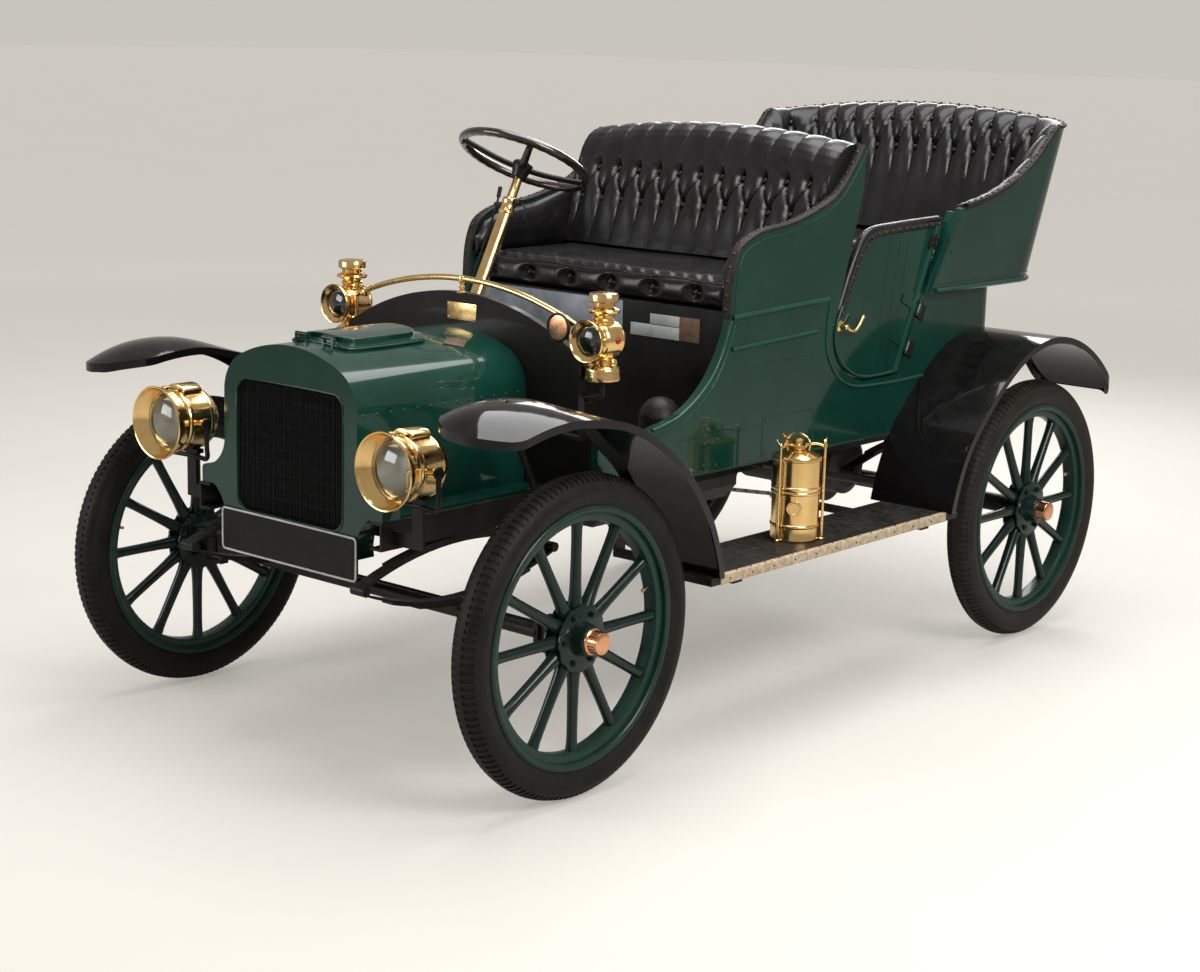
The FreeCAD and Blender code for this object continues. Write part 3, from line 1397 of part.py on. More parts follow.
def ahead_of_door_line(back):
    """Everything ahead of the slanted line behind the doors."""
    high = size("tub_crown") + 140
    curves = trace((door_line(900, back), 900), (door_line(high, back), high), (1200, high), (1200, 900))
    face = Part.Face(Part.Wire([curve.toShape() for curve in curves]))
    face.Placement = Placement(Vector(0, 0, 0), Rotation(Vector(1, 1, 1), 120)).multiply(face.Placement)
    face.translate(Vector(-700, 0, 0))
    return face.extrude(Vector(1400, 0, 0))


# Rear tub: the high backed horseshoe round the rear seat, with its floor
def rear_tub():
    low = size("tub_bottom")
    high = size("tub_crown") + 60
    wall = size("panel_thickness")
    outside = tub_solid(low, high, 0, 1600)
    inside = tub_solid(low + wall, high, wall, 1500)
    shell = outside.cut(inside)
    footwell = Part.makeBox(2 * inner_side, size("rear_seat_front") - 1500, 3 * wall,
                            Vector(-inner_side, 1500, low - wall))
    shell = shell.cut([above_rim(0), ahead_of_door_line(size("door_gap")), footwell])
    keep(solid_feature("rear_tub", shell), "rear_tub")


# Lower body behind the doors: rounded corners, rear panel and the front board of the rear seat
def rear_body():
    low = size("rail_top")
    top = size("tub_bottom")
    rear = size("body_rear")
    r = size("body_corner_radius")
    a, b, q, k = panel_corner(0)
    c, d, p, j = panel_corner(size("panel_thickness"))
    curves = trace((a, rear - r), [(a - k, b - k), (a - q, b)], (q - a, b), [(k - a, b - k), (-a, rear - r)],
                   (-c, rear - r), [(j - c, d - j), (p - c, d)], (c - p, d), [(c - j, d - j), (c, rear - r)])
    panel = new_body("rear_panel")
    pad(panel, "XY_Plane", low, curves, top - low)
    board = box("rear_seat_board", (-inner_side, size("rear_seat_front"), floor_top),
                (inner_side, size("rear_seat_front") + 20, top))
    keep(gather("rear_body", [panel, board]), "rear_body")


def rear_cushion():
    base = size("tub_bottom") + size("panel_thickness") + size("seat_gap")
    top = base + size("cushion_height")
    front = size("rear_seat_front") - 10
    half = size("tub_bottom_half_width") - size("panel_thickness") - 4
    body = new_body("rear_cushion")
    curves = trace((half, front + 14), [(half - 4, front + 4), (half - 14, front)], (14 - half, front),
                   [(4 - half, front + 4), (-half, front + 14)], (-half, 2290),
                   [(-half + 36, 2376), (-half + 120, 2410)], (half - 120, 2410), [(half - 36, 2376), (half, 2290)])
    pad(body, "XY_Plane", base, curves, top - base)
    keep(body, "rear_cushion")


# Padding round the inside of the tub: a back and two sides, each a solid of its own
def rear_backrest():
    gap = size("seat_gap")
    wall = size("panel_thickness")
    low = size("tub_bottom") + wall + size("cushion_height") + 3
    high = size("tub_crown") + 60
    outside = tub_solid(low, high, wall + gap, 1600)
    inside = tub_solid(low - 1, high + 1, wall + 70, 1500)
    ring = outside.cut(inside).cut([above_rim(6), ahead_of_door_line(30)])
    split = Part.makeBox(1400, 4, 800, Vector(-700, 2280, 1000))
    split.rotate(Vector(0, 2280, 1000), Vector(1, 0, 0), -13)
    pads = [piece for piece in ring.cut(split).Solids]
    keep(solid_feature("rear_backrest", Part.makeCompound(pads)), "rear_backrest")


rear_tub()
rear_body()
rear_cushion()
rear_backrest()


# Brass column tube up from its box on the frame, with the collar of the control levers
def steering_column():
    foot, up = column_axis()
    hub = Vector(-size("column_x"), size("wheel_hub_y"), size("wheel_hub_z"))
    tube = rod("column_tube", tuple(foot), tuple(hub - up * 32), "sizes.column_radius")
    collar = rod("column_collar", tuple(hub - up * 130), tuple(hub - up * 100), 25)
    gear_box = box("steering_box", (-299.7, foot.y - 45, 600), (-215, foot.y + 45, 660))
    levers = []
    for side in (1, -1):
        knob = hub - up * 115 + Vector(side * 95, 20, 6)
        levers.append(rod("control_lever", tuple(hub - up * 115), tuple(knob), 4))
        levers.append(ball("lever_knob", tuple(knob), 8))
    keep(fuse("steering_column", [tube, collar, gear_box] + levers), "steering_column")


# Steering wheel: round grip on a four armed spider
def steering_wheel():
    foot, up = column_axis()
    hub = Vector(-size("column_x"), size("wheel_hub_y"), size("wheel_hub_z"))
    turn = Rotation(Vector(0, 0, 1), up)
    radius = size("steering_rim_radius")
    rim = doc.addObject("Part::Torus", "steering_grip")
    rim.setExpression("Radius1", "sizes.steering_rim_radius")
    rim.setExpression("Radius2", "sizes.steering_grip_radius")
    rim.Placement = Placement(hub + up * 18, turn)
    centre = rod("steering_hub", tuple(hub - up * 31.5), tuple(hub + up * 12), 27)
    arms = []
    for number in range(4):
        out = turn.multVec(Vector(math.cos(math.pi / 4 + number * math.pi / 2),
                                  math.sin(math.pi / 4 + number * math.pi / 2), 0))
        arms.append(rod("spider_arm", tuple(hub + out * 20 - up * 6), tuple(hub + out * (radius - 3) + up * 16), 8))
    keep(fuse("steering_wheel", [rim, centre] + arms), "steering_wheel")


# Two pedals, the hand brake lever, and the domed canister that stands on the floor
def floor_controls():
    pieces = []
    for number, x in enumerate((-340, -180)):
        stem = rod("pedal_stem", (x, 470, floor_top + 2.1), (x, 440, floor_top + 110), 7)
        pad_plate = box("pedal_pad", (x - 32, 428, floor_top + 92), (x + 32, 438, floor_top + 142))
        pieces.append(fuse(f"pedal_{number}", [stem, pad_plate]))
    lever = rod("brake_lever", (-445, 640, floor_top + 2), (-445, 700, floor_top + 420), 10)
    grip = rod("brake_grip", (-445, 700, floor_top + 420), (-445, 714, floor_top + 520), 14)
    quadrant = box("brake_quadrant", (-460, 600, floor_top), (-430, 700, floor_top + 30))
    pieces.append(fuse("hand_brake", [lever, grip, quadrant]))
    canister = new_body("domed_canister")
    top = 878
    revolve(canister, "XZ_Plane", trace((0, floor_top), (50, floor_top), (50, top - 34), [(37, top - 11), (8, top)], (0, top)),
            "V_Axis")
    canister.Placement.Base = Vector(405, 690, 0)
    pieces.append(canister)
    keep(gather("floor_controls", pieces), "floor_controls")


steering_column()
steering_wheel()
floor_controls()


doc.recompute()
for item in doc.Objects:
    if "Invalid" in item.State or "Error" in item.State:
        raise RuntimeError(f"{item.Name} did not recompute: {item.State}")
for node in SUBPARTS:
    if node.Shape.isNull() or not node.Shape.isValid() or not node.Shape.Solids:
        raise RuntimeError(f"{node.Label} has no valid solid")

os.makedirs("parts", exist_ok=True)
for node in SUBPARTS:
    node.Shape.exportStep(f"parts/{node.Label}.step")
print(len(SUBPARTS), "nodes written")
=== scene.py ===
# %% [markdown]
# # An open touring car of the brass era
# The drawing office has given us the car in solid pieces at real size: frame, axles, sheet metal, doors.
# This lesson adds what a coach painter, an upholsterer, a wheelwright and a lamp maker would add.
# Before each step a note says what the piece is on the real car, how it could be made, and why this way.

# %% Open the car
import math

import bpy
from mathutils import Matrix, Vector
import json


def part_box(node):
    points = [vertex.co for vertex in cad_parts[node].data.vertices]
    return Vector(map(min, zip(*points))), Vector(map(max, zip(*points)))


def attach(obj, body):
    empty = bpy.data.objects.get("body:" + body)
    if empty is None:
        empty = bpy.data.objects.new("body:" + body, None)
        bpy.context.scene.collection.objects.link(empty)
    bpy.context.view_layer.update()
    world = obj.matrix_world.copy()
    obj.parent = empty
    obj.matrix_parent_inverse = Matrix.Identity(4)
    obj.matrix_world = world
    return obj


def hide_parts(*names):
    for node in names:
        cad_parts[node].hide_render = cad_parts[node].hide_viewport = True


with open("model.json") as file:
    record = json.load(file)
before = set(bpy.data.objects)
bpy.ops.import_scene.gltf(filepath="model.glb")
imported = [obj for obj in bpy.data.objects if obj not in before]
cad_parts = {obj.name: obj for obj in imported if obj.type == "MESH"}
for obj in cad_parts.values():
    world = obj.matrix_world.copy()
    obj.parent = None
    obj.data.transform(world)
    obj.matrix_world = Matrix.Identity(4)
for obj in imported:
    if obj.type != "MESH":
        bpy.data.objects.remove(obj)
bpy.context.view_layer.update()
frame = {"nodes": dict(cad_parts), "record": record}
bpy.ops.object.select_all(action="DESELECT")
low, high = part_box("tyre_front_left")
FRONT_AXLE_Y = (low.y + high.y) / 2
WHEEL_BASE = round((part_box("tyre_rear_left")[0].y - low.y) * 1000, 1)
print("front axle at y", round(FRONT_AXLE_Y, 4), "wheelbase", WHEEL_BASE, "mm")

# %% [markdown]
# ## Measures and small tools
# All measures below are in millimetres, counted from the front axle, the ground and the middle of the car,
# because that is how the photograph was measured. One helper turns them into Blender's metres.
# Round things are turned like on a lathe with the spin tool, long thin things follow a curve with a bevel,
# flat plates are an outline that is pushed out, and blocks get their edges bevelled in edit mode.

# %% Directions, points, selecting and finishing
ORIGIN = Vector((0, 0, 0))
UP = Vector((0, 0, 1))
OUTWARD = Vector((1, 0, 0))
BACKWARD = Vector((0, 1, 0))
FORWARD = Vector((0, -1, 0))
MIRROR = Matrix.Scale(-1, 4, OUTWARD)
FINE_MERGE = 0.00001


def at(x, y, z):
    """A point in metres."""
    return Vector((x / 1000, y / 1000 + FRONT_AXLE_Y, z / 1000))


def only(obj):
    """Select one object alone."""
    bpy.ops.object.select_all(action="DESELECT")
    obj.select_set(True)
    bpy.context.view_layer.objects.active = obj


def edit(obj):
    """Open a mesh in edit mode with all of it selected."""
    only(obj)
    bpy.ops.object.mode_set(mode="EDIT")
    bpy.ops.mesh.select_all(action="SELECT")


def clean(obj, smooth=35, merge=0.00005):
    """Merge what coincides, drop loose bits, point the faces outwards and shade by angle."""
    edit(obj)
    bpy.ops.mesh.remove_doubles(threshold=merge)
    bpy.ops.mesh.delete_loose()
    bpy.ops.mesh.select_all(action="SELECT")
    bpy.ops.mesh.normals_make_consistent(inside=False)
    bpy.ops.object.mode_set(mode="OBJECT")
    bpy.ops.object.shade_smooth_by_angle(angle=math.radians(smooth))
    return obj


def joined(name, pieces):
    """Several pieces as one object."""
    only(pieces[0])
    for piece in pieces:
        piece.select_set(True)
    if len(pieces) > 1:
        bpy.ops.object.join()
    pieces[0].name = pieces[0].data.name = name
    return pieces[0]


def twin(obj, name, matrix):
    """A copy with a mesh of its own, moved; a mirrored one gets its faces turned back."""
    copy = obj.copy()
    copy.data = obj.data.copy()
    copy.data.transform(matrix)
    if matrix.determinant() < 0:
        copy.data.flip_normals()
    bpy.context.collection.objects.link(copy)
    copy.name = copy.data.name = name
    return copy


def row_of(first, count, shift):
    """One piece and its copies, each moved on by the shift of its number."""
    return [first] + [twin(first, f"{first.name}_{k}", Matrix.Translation(shift(k))) for k in range(1, count)]


def painted(obj, material):
    obj.data.materials.clear()
    obj.data.materials.append(material)
    return obj


def settle(obj, stands_for=(), body="chassis"):
    """Say which moving part a piece rides on, and which plain solids it stands for."""
    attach(obj, body)
    for name in stands_for:
        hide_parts(name)


def settle_pair(left, stands_for=(), body=None):
    """Mirror a left piece, and settle both; body names the pair of moving parts that they ride on."""
    right = twin(left, left.name.replace("left", "right"), MIRROR)
    for piece, side in ((left, "left"), (right, "right")):
        settle(piece, stands_for, f"{body}_{side}" if body else "chassis")
    return right


# %% Turning, sweeping and cutting plates
def traced(name, points, fill):
    """A closed outline through points, from a circle with as many corners."""
    bpy.ops.mesh.primitive_circle_add(vertices=len(points), radius=0.01, fill_type=fill)
    obj = bpy.context.object
    obj.name = name
    for vertex, point in zip(obj.data.vertices, points):
        vertex.co = point
    return obj


def turned(name, profile, start, along, steps=48, smooth=35):
    """A turned body from a closed outline of (distance along the axis, radius)."""
    axis = Vector(along).normalized()
    out = axis.orthogonal().normalized()
    points = [start + axis * distance / 1000 + out * radius / 1000 for distance, radius in profile]
    obj = traced(name, points, "NOTHING")
    edit(obj)
    bpy.ops.mesh.spin(steps=steps, angle=math.tau, center=start, axis=axis)
    bpy.ops.object.mode_set(mode="OBJECT")
    return clean(obj, smooth)


def bar(name, start, end, radius, steps=20, edge=1.0):
    """Round bar with broken edges."""
    length = (end - start).length * 1000
    edge = min(edge, radius * 0.45, length * 0.45)
    neck = radius - edge
    profile = [(0, 0), (0, neck), (edge, radius), (length - edge, radius), (length, neck), (length, 0)]
    return turned(name, profile, start, end - start, steps)


def tube(name, points, radius, closed=False, fine=8, sides=3):
    """A bent round bar through points, from a curve with a bevel."""
    bpy.ops.object.select_all(action="DESELECT")
    bpy.ops.curve.primitive_bezier_curve_add()
    obj = bpy.context.object
    obj.name = name
    spline = obj.data.splines[0]
    spline.bezier_points.add(len(points) - 2)
    for knot, point in zip(spline.bezier_points, points):
        knot.co = point
        knot.handle_left_type = knot.handle_right_type = "AUTO"
    spline.use_cyclic_u = closed
    obj.data.resolution_u = fine
    obj.data.bevel_depth = radius / 1000
    obj.data.bevel_resolution = sides
    obj.data.use_fill_caps = not closed
    only(obj)
    bpy.ops.object.convert(target="MESH")
    return clean(obj, 50)


def rounded(obj, width, segments, angle):
    """Round every edge that is sharper than an angle."""
    rim = obj.modifiers.new("edge", "BEVEL")
    rim.width = width / 1000
    rim.segments = segments
    rim.limit_method = "ANGLE"
    rim.angle_limit = math.radians(angle)
    only(obj)
    bpy.ops.object.modifier_apply(modifier="edge")


def plate(name, outline, push, edge=0.6, smooth=30):
    """A flat plate: an outline of points, pushed out, with its edges softened."""
    obj = traced(name, outline, "NGON")
    edit(obj)
    bpy.ops.mesh.extrude_region_move(TRANSFORM_OT_translate={"value": push})
    bpy.ops.mesh.select_all(action="SELECT")
    bpy.ops.mesh.normals_make_consistent(inside=False)
    bpy.ops.object.mode_set(mode="OBJECT")
    if edge:
        rounded(obj, edge, 2, 40)
    return clean(obj, smooth, FINE_MERGE)


def block(name, low, high, edge=1.5, segments=2):
    """A block with rounded edges, from a cube sized and bevelled in edit mode."""
    bpy.ops.mesh.primitive_cube_add(size=1)
    obj = bpy.context.object
    obj.name = name
    for vertex in obj.data.vertices:
        vertex.co = Vector([a if c < 0 else b for c, a, b in zip(vertex.co, low, high)])
    edit(obj)
    bpy.ops.mesh.normals_make_consistent(inside=False)
    bpy.ops.mesh.bevel(offset=edge / 1000, segments=segments, affect="EDGES")
    bpy.ops.object.mode_set(mode="OBJECT")
    return clean(obj, 40, FINE_MERGE)


def stood(name, model, places):
    """Copies of one small model, each standing on its place along a direction, as one object."""
    copies = []
    for number, (point, up) in enumerate(places):
        turn = UP.rotation_difference(Vector(up)).to_matrix().to_4x4()
        copies.append(twin(model, f"{name}_{number}", Matrix.Translation(point) @ turn))
    return joined(name, copies)


def dropped(model):
    """Take away a model once its copies stand."""
    bpy.data.objects.remove(model, do_unlink=True)


def length_of(run):
    return sum(math.dist(a, b) for a, b in zip(run, run[1:]))


def spaced(points, step):
    """Points at even steps along a run of points, each with its heading."""
    result = []
    wanted = step / 2000
    walked = 0.0
    for a, b in zip(points, points[1:]):
        run = (b - a).length
        while run > 0 and wanted <= walked + run:
            result.append((a.lerp(b, (wanted - walked) / run), (b - a).normalized()))
            wanted += step / 1000
        walked += run
    return result


def smooth_run(points, fine=8):
    """A finer run through the same points, without corners."""
    run = []
    last = len(points) - 1
    for i in range(last):
        p0, p1, p2, p3 = points[max(i - 1, 0)], points[i], points[i + 1], points[min(i + 2, last)]
        for k in range(fine):
            t = k / fine
            run.append(0.5 * ((2 * p1) + (p2 - p0) * t + (2 * p0 - 5 * p1 + 4 * p2 - p3) * t * t
                              + (3 * p1 - p0 - 3 * p2 + p3) * t ** 3))
    run.append(points[-1].copy())
    return run


def round_corners(corners, radius, steps, point):
    """A run round four corners, each given by the middle of its arc, from one point function of (a, b)."""
    run = []
    for number, (a, b) in enumerate(corners):
        for k in range(steps + 1):
            turn = math.radians(90 * number + k * 90 / steps)
            run.append(point(a + radius * math.cos(turn), b + radius * math.sin(turn)))
    return run


print("tools ready")

# %% [markdown]
# ## Effects that several finishes share
# Old coach paint, brass and leather all show cloudy patches, dust that has settled on upward faces, and fine
# marks. Each effect is a node group with named inputs, so that every finish can use it with its own values.
# The groups only give masks and heights; the shader itself stays in each material.

# %% Node groups
def plug(tree, node, wires):
    """Give each named input of a node a value, or a wire from another node."""
    for label, value in wires.items():
        if isinstance(value, bpy.types.NodeSocket):
            tree.links.new(value, node.inputs[label])
        else:
            node.inputs[label].default_value = value


def wired(tree, kind, wires):
    node = tree.nodes.new("ShaderNode" + kind)
    plug(tree, node, wires)
    return node


def effect(name, numbers, outputs):
    """A group with a place and some numbers going in; gives the group, its inputs and its exit."""
    group = bpy.data.node_groups.new(name, "ShaderNodeTree")
    group.interface.new_socket(name="Vector", in_out="INPUT", socket_type="NodeSocketVector")
    for label, value in numbers.items():
        group.interface.new_socket(name=label, in_out="INPUT", socket_type="NodeSocketFloat").default_value = value
    for label in outputs:
        group.interface.new_socket(name=label, in_out="OUTPUT", socket_type="NodeSocketFloat")
    return group, group.nodes.new("NodeGroupInput").outputs, group.nodes.new("NodeGroupOutput")


def math_node(tree, kind, first, second):
    node = wired(tree, "Math", {0: first, 1: second})
    node.operation = kind
    return node.outputs[0]


def spread(tree, value, to_low, to_high, from_low=0.0, from_high=1.0):
    return wired(tree, "MapRange", {"Value": value, "From Min": from_low, "From Max": from_high,
                                    "To Min": to_low, "To Max": to_high}).outputs["Result"]


def noise(tree, source, scale, detail, **more):
    return wired(tree, "TexNoise", {"Vector": source["Vector"], "Scale": source[scale], "Detail": detail,
                                    **more}).outputs["Fac"]


patches, source, sink = effect("cloudy patches", {"Scale": 4.0}, ["Mask"])
cloud = noise(patches, source, "Scale", 5, Roughness=0.6)
plug(patches, sink, {"Mask": spread(patches, cloud, 0, 1, 0.34, 0.66)})

dust, source, sink = effect("settled dust", {"Scale": 12.0, "Amount": 0.4}, ["Mask"])
facing = dust.nodes.new("ShaderNodeNewGeometry").outputs["Normal"]
upward = spread(dust, wired(dust, "SeparateXYZ", {"Vector": facing}).outputs["Z"], 0, 1, 0.35, 1.0)
grain = spread(dust, noise(dust, source, "Scale", 8), 0, 1, 0.38, 0.7)
plug(dust, sink, {"Mask": math_node(dust, "MULTIPLY", math_node(dust, "MULTIPLY", upward, grain), source["Amount"])})

streaks, source, sink = effect("fine streaks", {"Scale": 30.0}, ["Mask"])
lines = noise(streaks, source, "Scale", 6, Distortion=0.3)
plug(streaks, sink, {"Mask": spread(streaks, lines, 0, 1, 0.3, 0.72)})

hide, source, sink = effect("hide grain", {"Pebble": 420.0, "Crease": 36.0}, ["Height"])
pebble = wired(hide, "TexVoronoi", {"Vector": source["Vector"], "Scale": source["Pebble"]}).outputs["Distance"]
lines = noise(hide, source, "Crease", 7, Distortion=1.2)
plug(hide, sink, {"Height": math_node(hide, "ADD", math_node(hide, "MULTIPLY", pebble, 0.35), lines)})
print("effects:", [group.name for group in bpy.data.node_groups])

# %% [markdown]
# ## Finishes
# The body is deep green coach enamel under clear varnish, the fenders are black, and the lamps are polished brass.
# A finish is built from two colours mixed by the patches, a roughness that follows them, and a veil of dust.
# Varnish is the shader's coat. That way one recipe makes enamel, iron, rubber and cloth, with other numbers.

# %% One recipe for opaque finishes
def use(tree, group, vector, **values):
    """Put a shared effect into a material and give its first output."""
    node = tree.nodes.new("ShaderNodeGroup")
    node.node_tree = group
    plug(tree, node, {"Vector": vector, **values})
    return node.outputs[0]


def mixed(tree, mask, first, second):
    """Two colours mixed by a mask."""
    node = tree.nodes.new("ShaderNodeMix")
    node.data_type = "RGBA"
    first, second = ((*value, 1) if isinstance(value, tuple) else value for value in (first, second))
    plug(tree, node, {0: mask, 6: first, 7: second})
    return node.outputs[2]


def fresh(name):
    """A new material with its tree, its shader and the place on the object."""
    material = bpy.data.materials.new(name)
    material.use_nodes = True
    tree = material.node_tree
    return material, tree, tree.nodes["Principled BSDF"], tree.nodes.new("ShaderNodeTexCoord").outputs["Object"]


def finish(name, colour, second, rough=(0.3, 0.45), scale=6.0, metal=0.0, coat=0.0, dusty=0.0,
           dust_colour=(0.22, 0.19, 0.15), relief=None, stretch=(1, 1, 1), grain=None, shine=0.5):
    """An opaque finish: two colours in patches, roughness that follows, dust, and relief of a height and a scale."""
    material, tree, shader, where = fresh(name)
    vector = wired(tree, "Mapping", {"Vector": where, "Scale": stretch}).outputs["Vector"]
    cloud = use(tree, patches, vector, Scale=scale)
    fine = use(tree, streaks, vector, Scale=scale * 9)
    colour_out = mixed(tree, cloud, colour, second)
    rough_out = spread(tree, math_node(tree, "MULTIPLY", math_node(tree, "ADD", cloud, fine), 0.5), *rough)
    if dusty:
        veil = use(tree, dust, where, Scale=scale * 5, Amount=dusty)
        colour_out = mixed(tree, veil, colour_out, dust_colour)
        rough_out = math_node(tree, "MINIMUM", math_node(tree, "ADD", rough_out, veil), 0.85)
    plug(tree, shader, {"Base Color": colour_out, "Roughness": rough_out, "Metallic": metal,
                        "Specular IOR Level": shine, "Coat Weight": coat, "Coat Roughness": 0.04})
    if relief:
        height = (use(tree, hide, vector, Pebble=grain, Crease=relief[1]) if grain
                  else use(tree, streaks, vector, Scale=relief[1]))
        bump = wired(tree, "Bump", {"Distance": 0.001, "Strength": relief[0], "Height": height})
        plug(tree, shader, {"Normal": bump.outputs["Normal"]})
    return material


coach_green = finish("coach green", (0.003, 0.030, 0.020), (0.005, 0.042, 0.029), (0.10, 0.22), 3.5, coat=0.55,
                     dusty=0.05, dust_colour=(0.10, 0.13, 0.10), relief=(0.05, 7), shine=0.12)
moulding_green = finish("moulding green", (0.006, 0.048, 0.034), (0.009, 0.060, 0.042), (0.14, 0.3), 9, coat=0.4,
                        shine=0.15)
fender_black = finish("fender black", (0.004, 0.0035, 0.004), (0.006, 0.0055, 0.006), (0.07, 0.2), 5, coat=0.6,
                      dusty=0.03, relief=(0.03, 9), shine=0.1)
chassis_black = finish("chassis black", (0.007, 0.007, 0.007), (0.016, 0.015, 0.014), (0.28, 0.5), 14, dusty=0.08,
                       relief=(0.15, 90), shine=0.18)
dash_black = finish("dash black", (0.008, 0.007, 0.007), (0.012, 0.010, 0.010), (0.26, 0.38), 6, coat=0.1, dusty=0.04,
                    relief=(0.04, 160), shine=0.2)
wheel_green = finish("wheel green", (0.003, 0.012, 0.010), (0.005, 0.018, 0.015), (0.2, 0.36), 11, coat=0.4,
                     dusty=0.04, relief=(0.05, 25), shine=0.12)
rim_green = finish("rim green", (0.007, 0.028, 0.021), (0.011, 0.037, 0.028), (0.28, 0.46), 16, coat=0.2, dusty=0.08,
                   relief=(0.1, 60), shine=0.15)
brass = finish("polished brass", (0.80, 0.52, 0.20), (0.90, 0.64, 0.29), (0.09, 0.24), 18, metal=1.0,
               relief=(0.03, 40))
dull_brass = finish("handled brass", (0.55, 0.36, 0.14), (0.80, 0.58, 0.26), (0.2, 0.42), 30, metal=1.0,
                    relief=(0.08, 90))
copper = finish("cap copper", (0.75, 0.34, 0.17), (0.88, 0.48, 0.26), (0.15, 0.34), 25, metal=1.0, relief=(0.05, 70))
polished_steel = finish("reflector silver", (0.46, 0.44, 0.40), (0.60, 0.58, 0.53), (0.3, 0.45), 25, metal=1.0)
worn_steel = finish("worn steel", (0.20, 0.19, 0.18), (0.34, 0.32, 0.30), (0.35, 0.6), 30, metal=0.9,
                    relief=(0.2, 120))
cast_iron = finish("oily cast iron", (0.035, 0.034, 0.033), (0.07, 0.066, 0.06), (0.4, 0.7), 18, metal=0.4, dusty=0.3,
                   relief=(0.5, 180))
worn_iron = finish("baked black iron", (0.014, 0.013, 0.013), (0.045, 0.036, 0.030), (0.45, 0.7), 12, dusty=0.3,
                   relief=(0.3, 110))
tyre_front = finish("front tyre rubber", (0.007, 0.006, 0.005), (0.013, 0.011, 0.009), (0.42, 0.62), 16, dusty=0.12,
                    dust_colour=(0.10, 0.08, 0.06), relief=(0.25, 150), shine=0.16)
tyre_rear = finish("rear tyre rubber", (0.014, 0.012, 0.010), (0.026, 0.023, 0.020), (0.45, 0.7), 14, dusty=0.2,
                   dust_colour=(0.14, 0.12, 0.09), relief=(0.3, 150), shine=0.16)
leather = finish("buttoned leather", (0.004, 0.0035, 0.004), (0.009, 0.008, 0.009), (0.24, 0.38), 9, coat=0.16,
                 dusty=0.05, dust_colour=(0.06, 0.055, 0.065), relief=(0.45, 55), grain=520.0, shine=0.3)
binding = finish("worn binding leather", (0.010, 0.009, 0.008), (0.026, 0.022, 0.018), (0.4, 0.6), 24, dusty=0.08,
                 relief=(0.6, 120), grain=600.0, shine=0.2)
rim_wood = finish("varnished rim wood", (0.010, 0.0045, 0.003), (0.022, 0.010, 0.006), (0.16, 0.3), 22, coat=0.8,
                  relief=(0.08, 60))
tab_leather = finish("brown strap leather", (0.055, 0.026, 0.014), (0.10, 0.05, 0.028), (0.4, 0.6), 26,
                     relief=(0.5, 110), grain=600.0)
nail_black = finish("japanned nails", (0.016, 0.013, 0.012), (0.05, 0.04, 0.034), (0.2, 0.4), 60, metal=0.5)
board_cover = finish("board covering", (0.008, 0.008, 0.008), (0.018, 0.016, 0.015), (0.3, 0.5), 10, dusty=0.12,
                     relief=(0.02, 200), shine=0.2)
floor_wood = finish("floor boards", (0.11, 0.07, 0.04), (0.20, 0.13, 0.075), (0.5, 0.75), 8, dusty=0.3,
                    relief=(0.4, 40), stretch=(6, 1, 6))
core_black = finish("core black", (0.005, 0.005, 0.006), (0.012, 0.012, 0.014), (0.3, 0.5), 40, metal=0.2, dusty=0.1)
seat_grey = finish("worn grey board", (0.13, 0.15, 0.18), (0.30, 0.34, 0.40), (0.35, 0.6), 11, dusty=0.1,
                   relief=(0.3, 70))
seat_dark = finish("seat box black", (0.006, 0.006, 0.007), (0.012, 0.013, 0.015), (0.35, 0.55), 9, relief=(0.1, 60),
                   shine=0.3)
plate_black = finish("plate black", (0.010, 0.009, 0.007), (0.015, 0.013, 0.010), (0.35, 0.5), 20, shine=0.12)
plate_border = finish("plate border", (0.42, 0.42, 0.40), (0.56, 0.56, 0.53), (0.4, 0.6), 30, relief=(0.1, 90))
label_blank = finish("blank pale label", (0.36, 0.40, 0.40), (0.52, 0.56, 0.55), (0.35, 0.55), 26, relief=(0.1, 80))
edge_cream = finish("worn cream strip", (0.60, 0.50, 0.34), (0.34, 0.24, 0.15), (0.35, 0.6), 70, relief=(0.2, 160))
print("finishes:", len(bpy.data.materials))

# %% [markdown]
# ## Glass
# Glass needs a shader of its own: full transmission and no metal, with a few smears in its roughness.

# %% Lamp glass and the ruby jewel
def glass(name, tint, rough):
    material, tree, shader, where = fresh(name)
    smear = use(tree, patches, where, Scale=22.0)
    plug(tree, shader, {"Roughness": spread(tree, smear, *rough), "Base Color": (*tint, 1),
                        "Transmission Weight": 1.0, "IOR": 1.45})
    return material


lamp_glass = glass("lamp glass", (0.93, 0.96, 0.95), (0.0, 0.06))
red_glass = glass("ruby glass", (0.55, 0.05, 0.03), (0.02, 0.1))
print("glass ready")

# %% [markdown]
# ## Floor, lights and camera
# The car stands on a wide plain pale floor, whose far end meets a pale surround. Large soft lamps
# make the long highlights on paint and brass. Rays from the camera, and rays that come off metal or through glass,
# see a lighter floor than the one that lights the car, so the background is bright without washing out the paint.

# %% Stage
def seen_by_camera(tree, mirror_share):
    """1 for rays from the camera or through glass, and a share of that for mirrored rays."""
    paths = tree.nodes.new("ShaderNodeLightPath").outputs
    straight = math_node(tree, "MAXIMUM", paths["Is Camera Ray"], paths["Is Transmission Ray"])
    return math_node(tree, "MAXIMUM", straight, math_node(tree, "MULTIPLY", paths["Is Glossy Ray"], mirror_share))


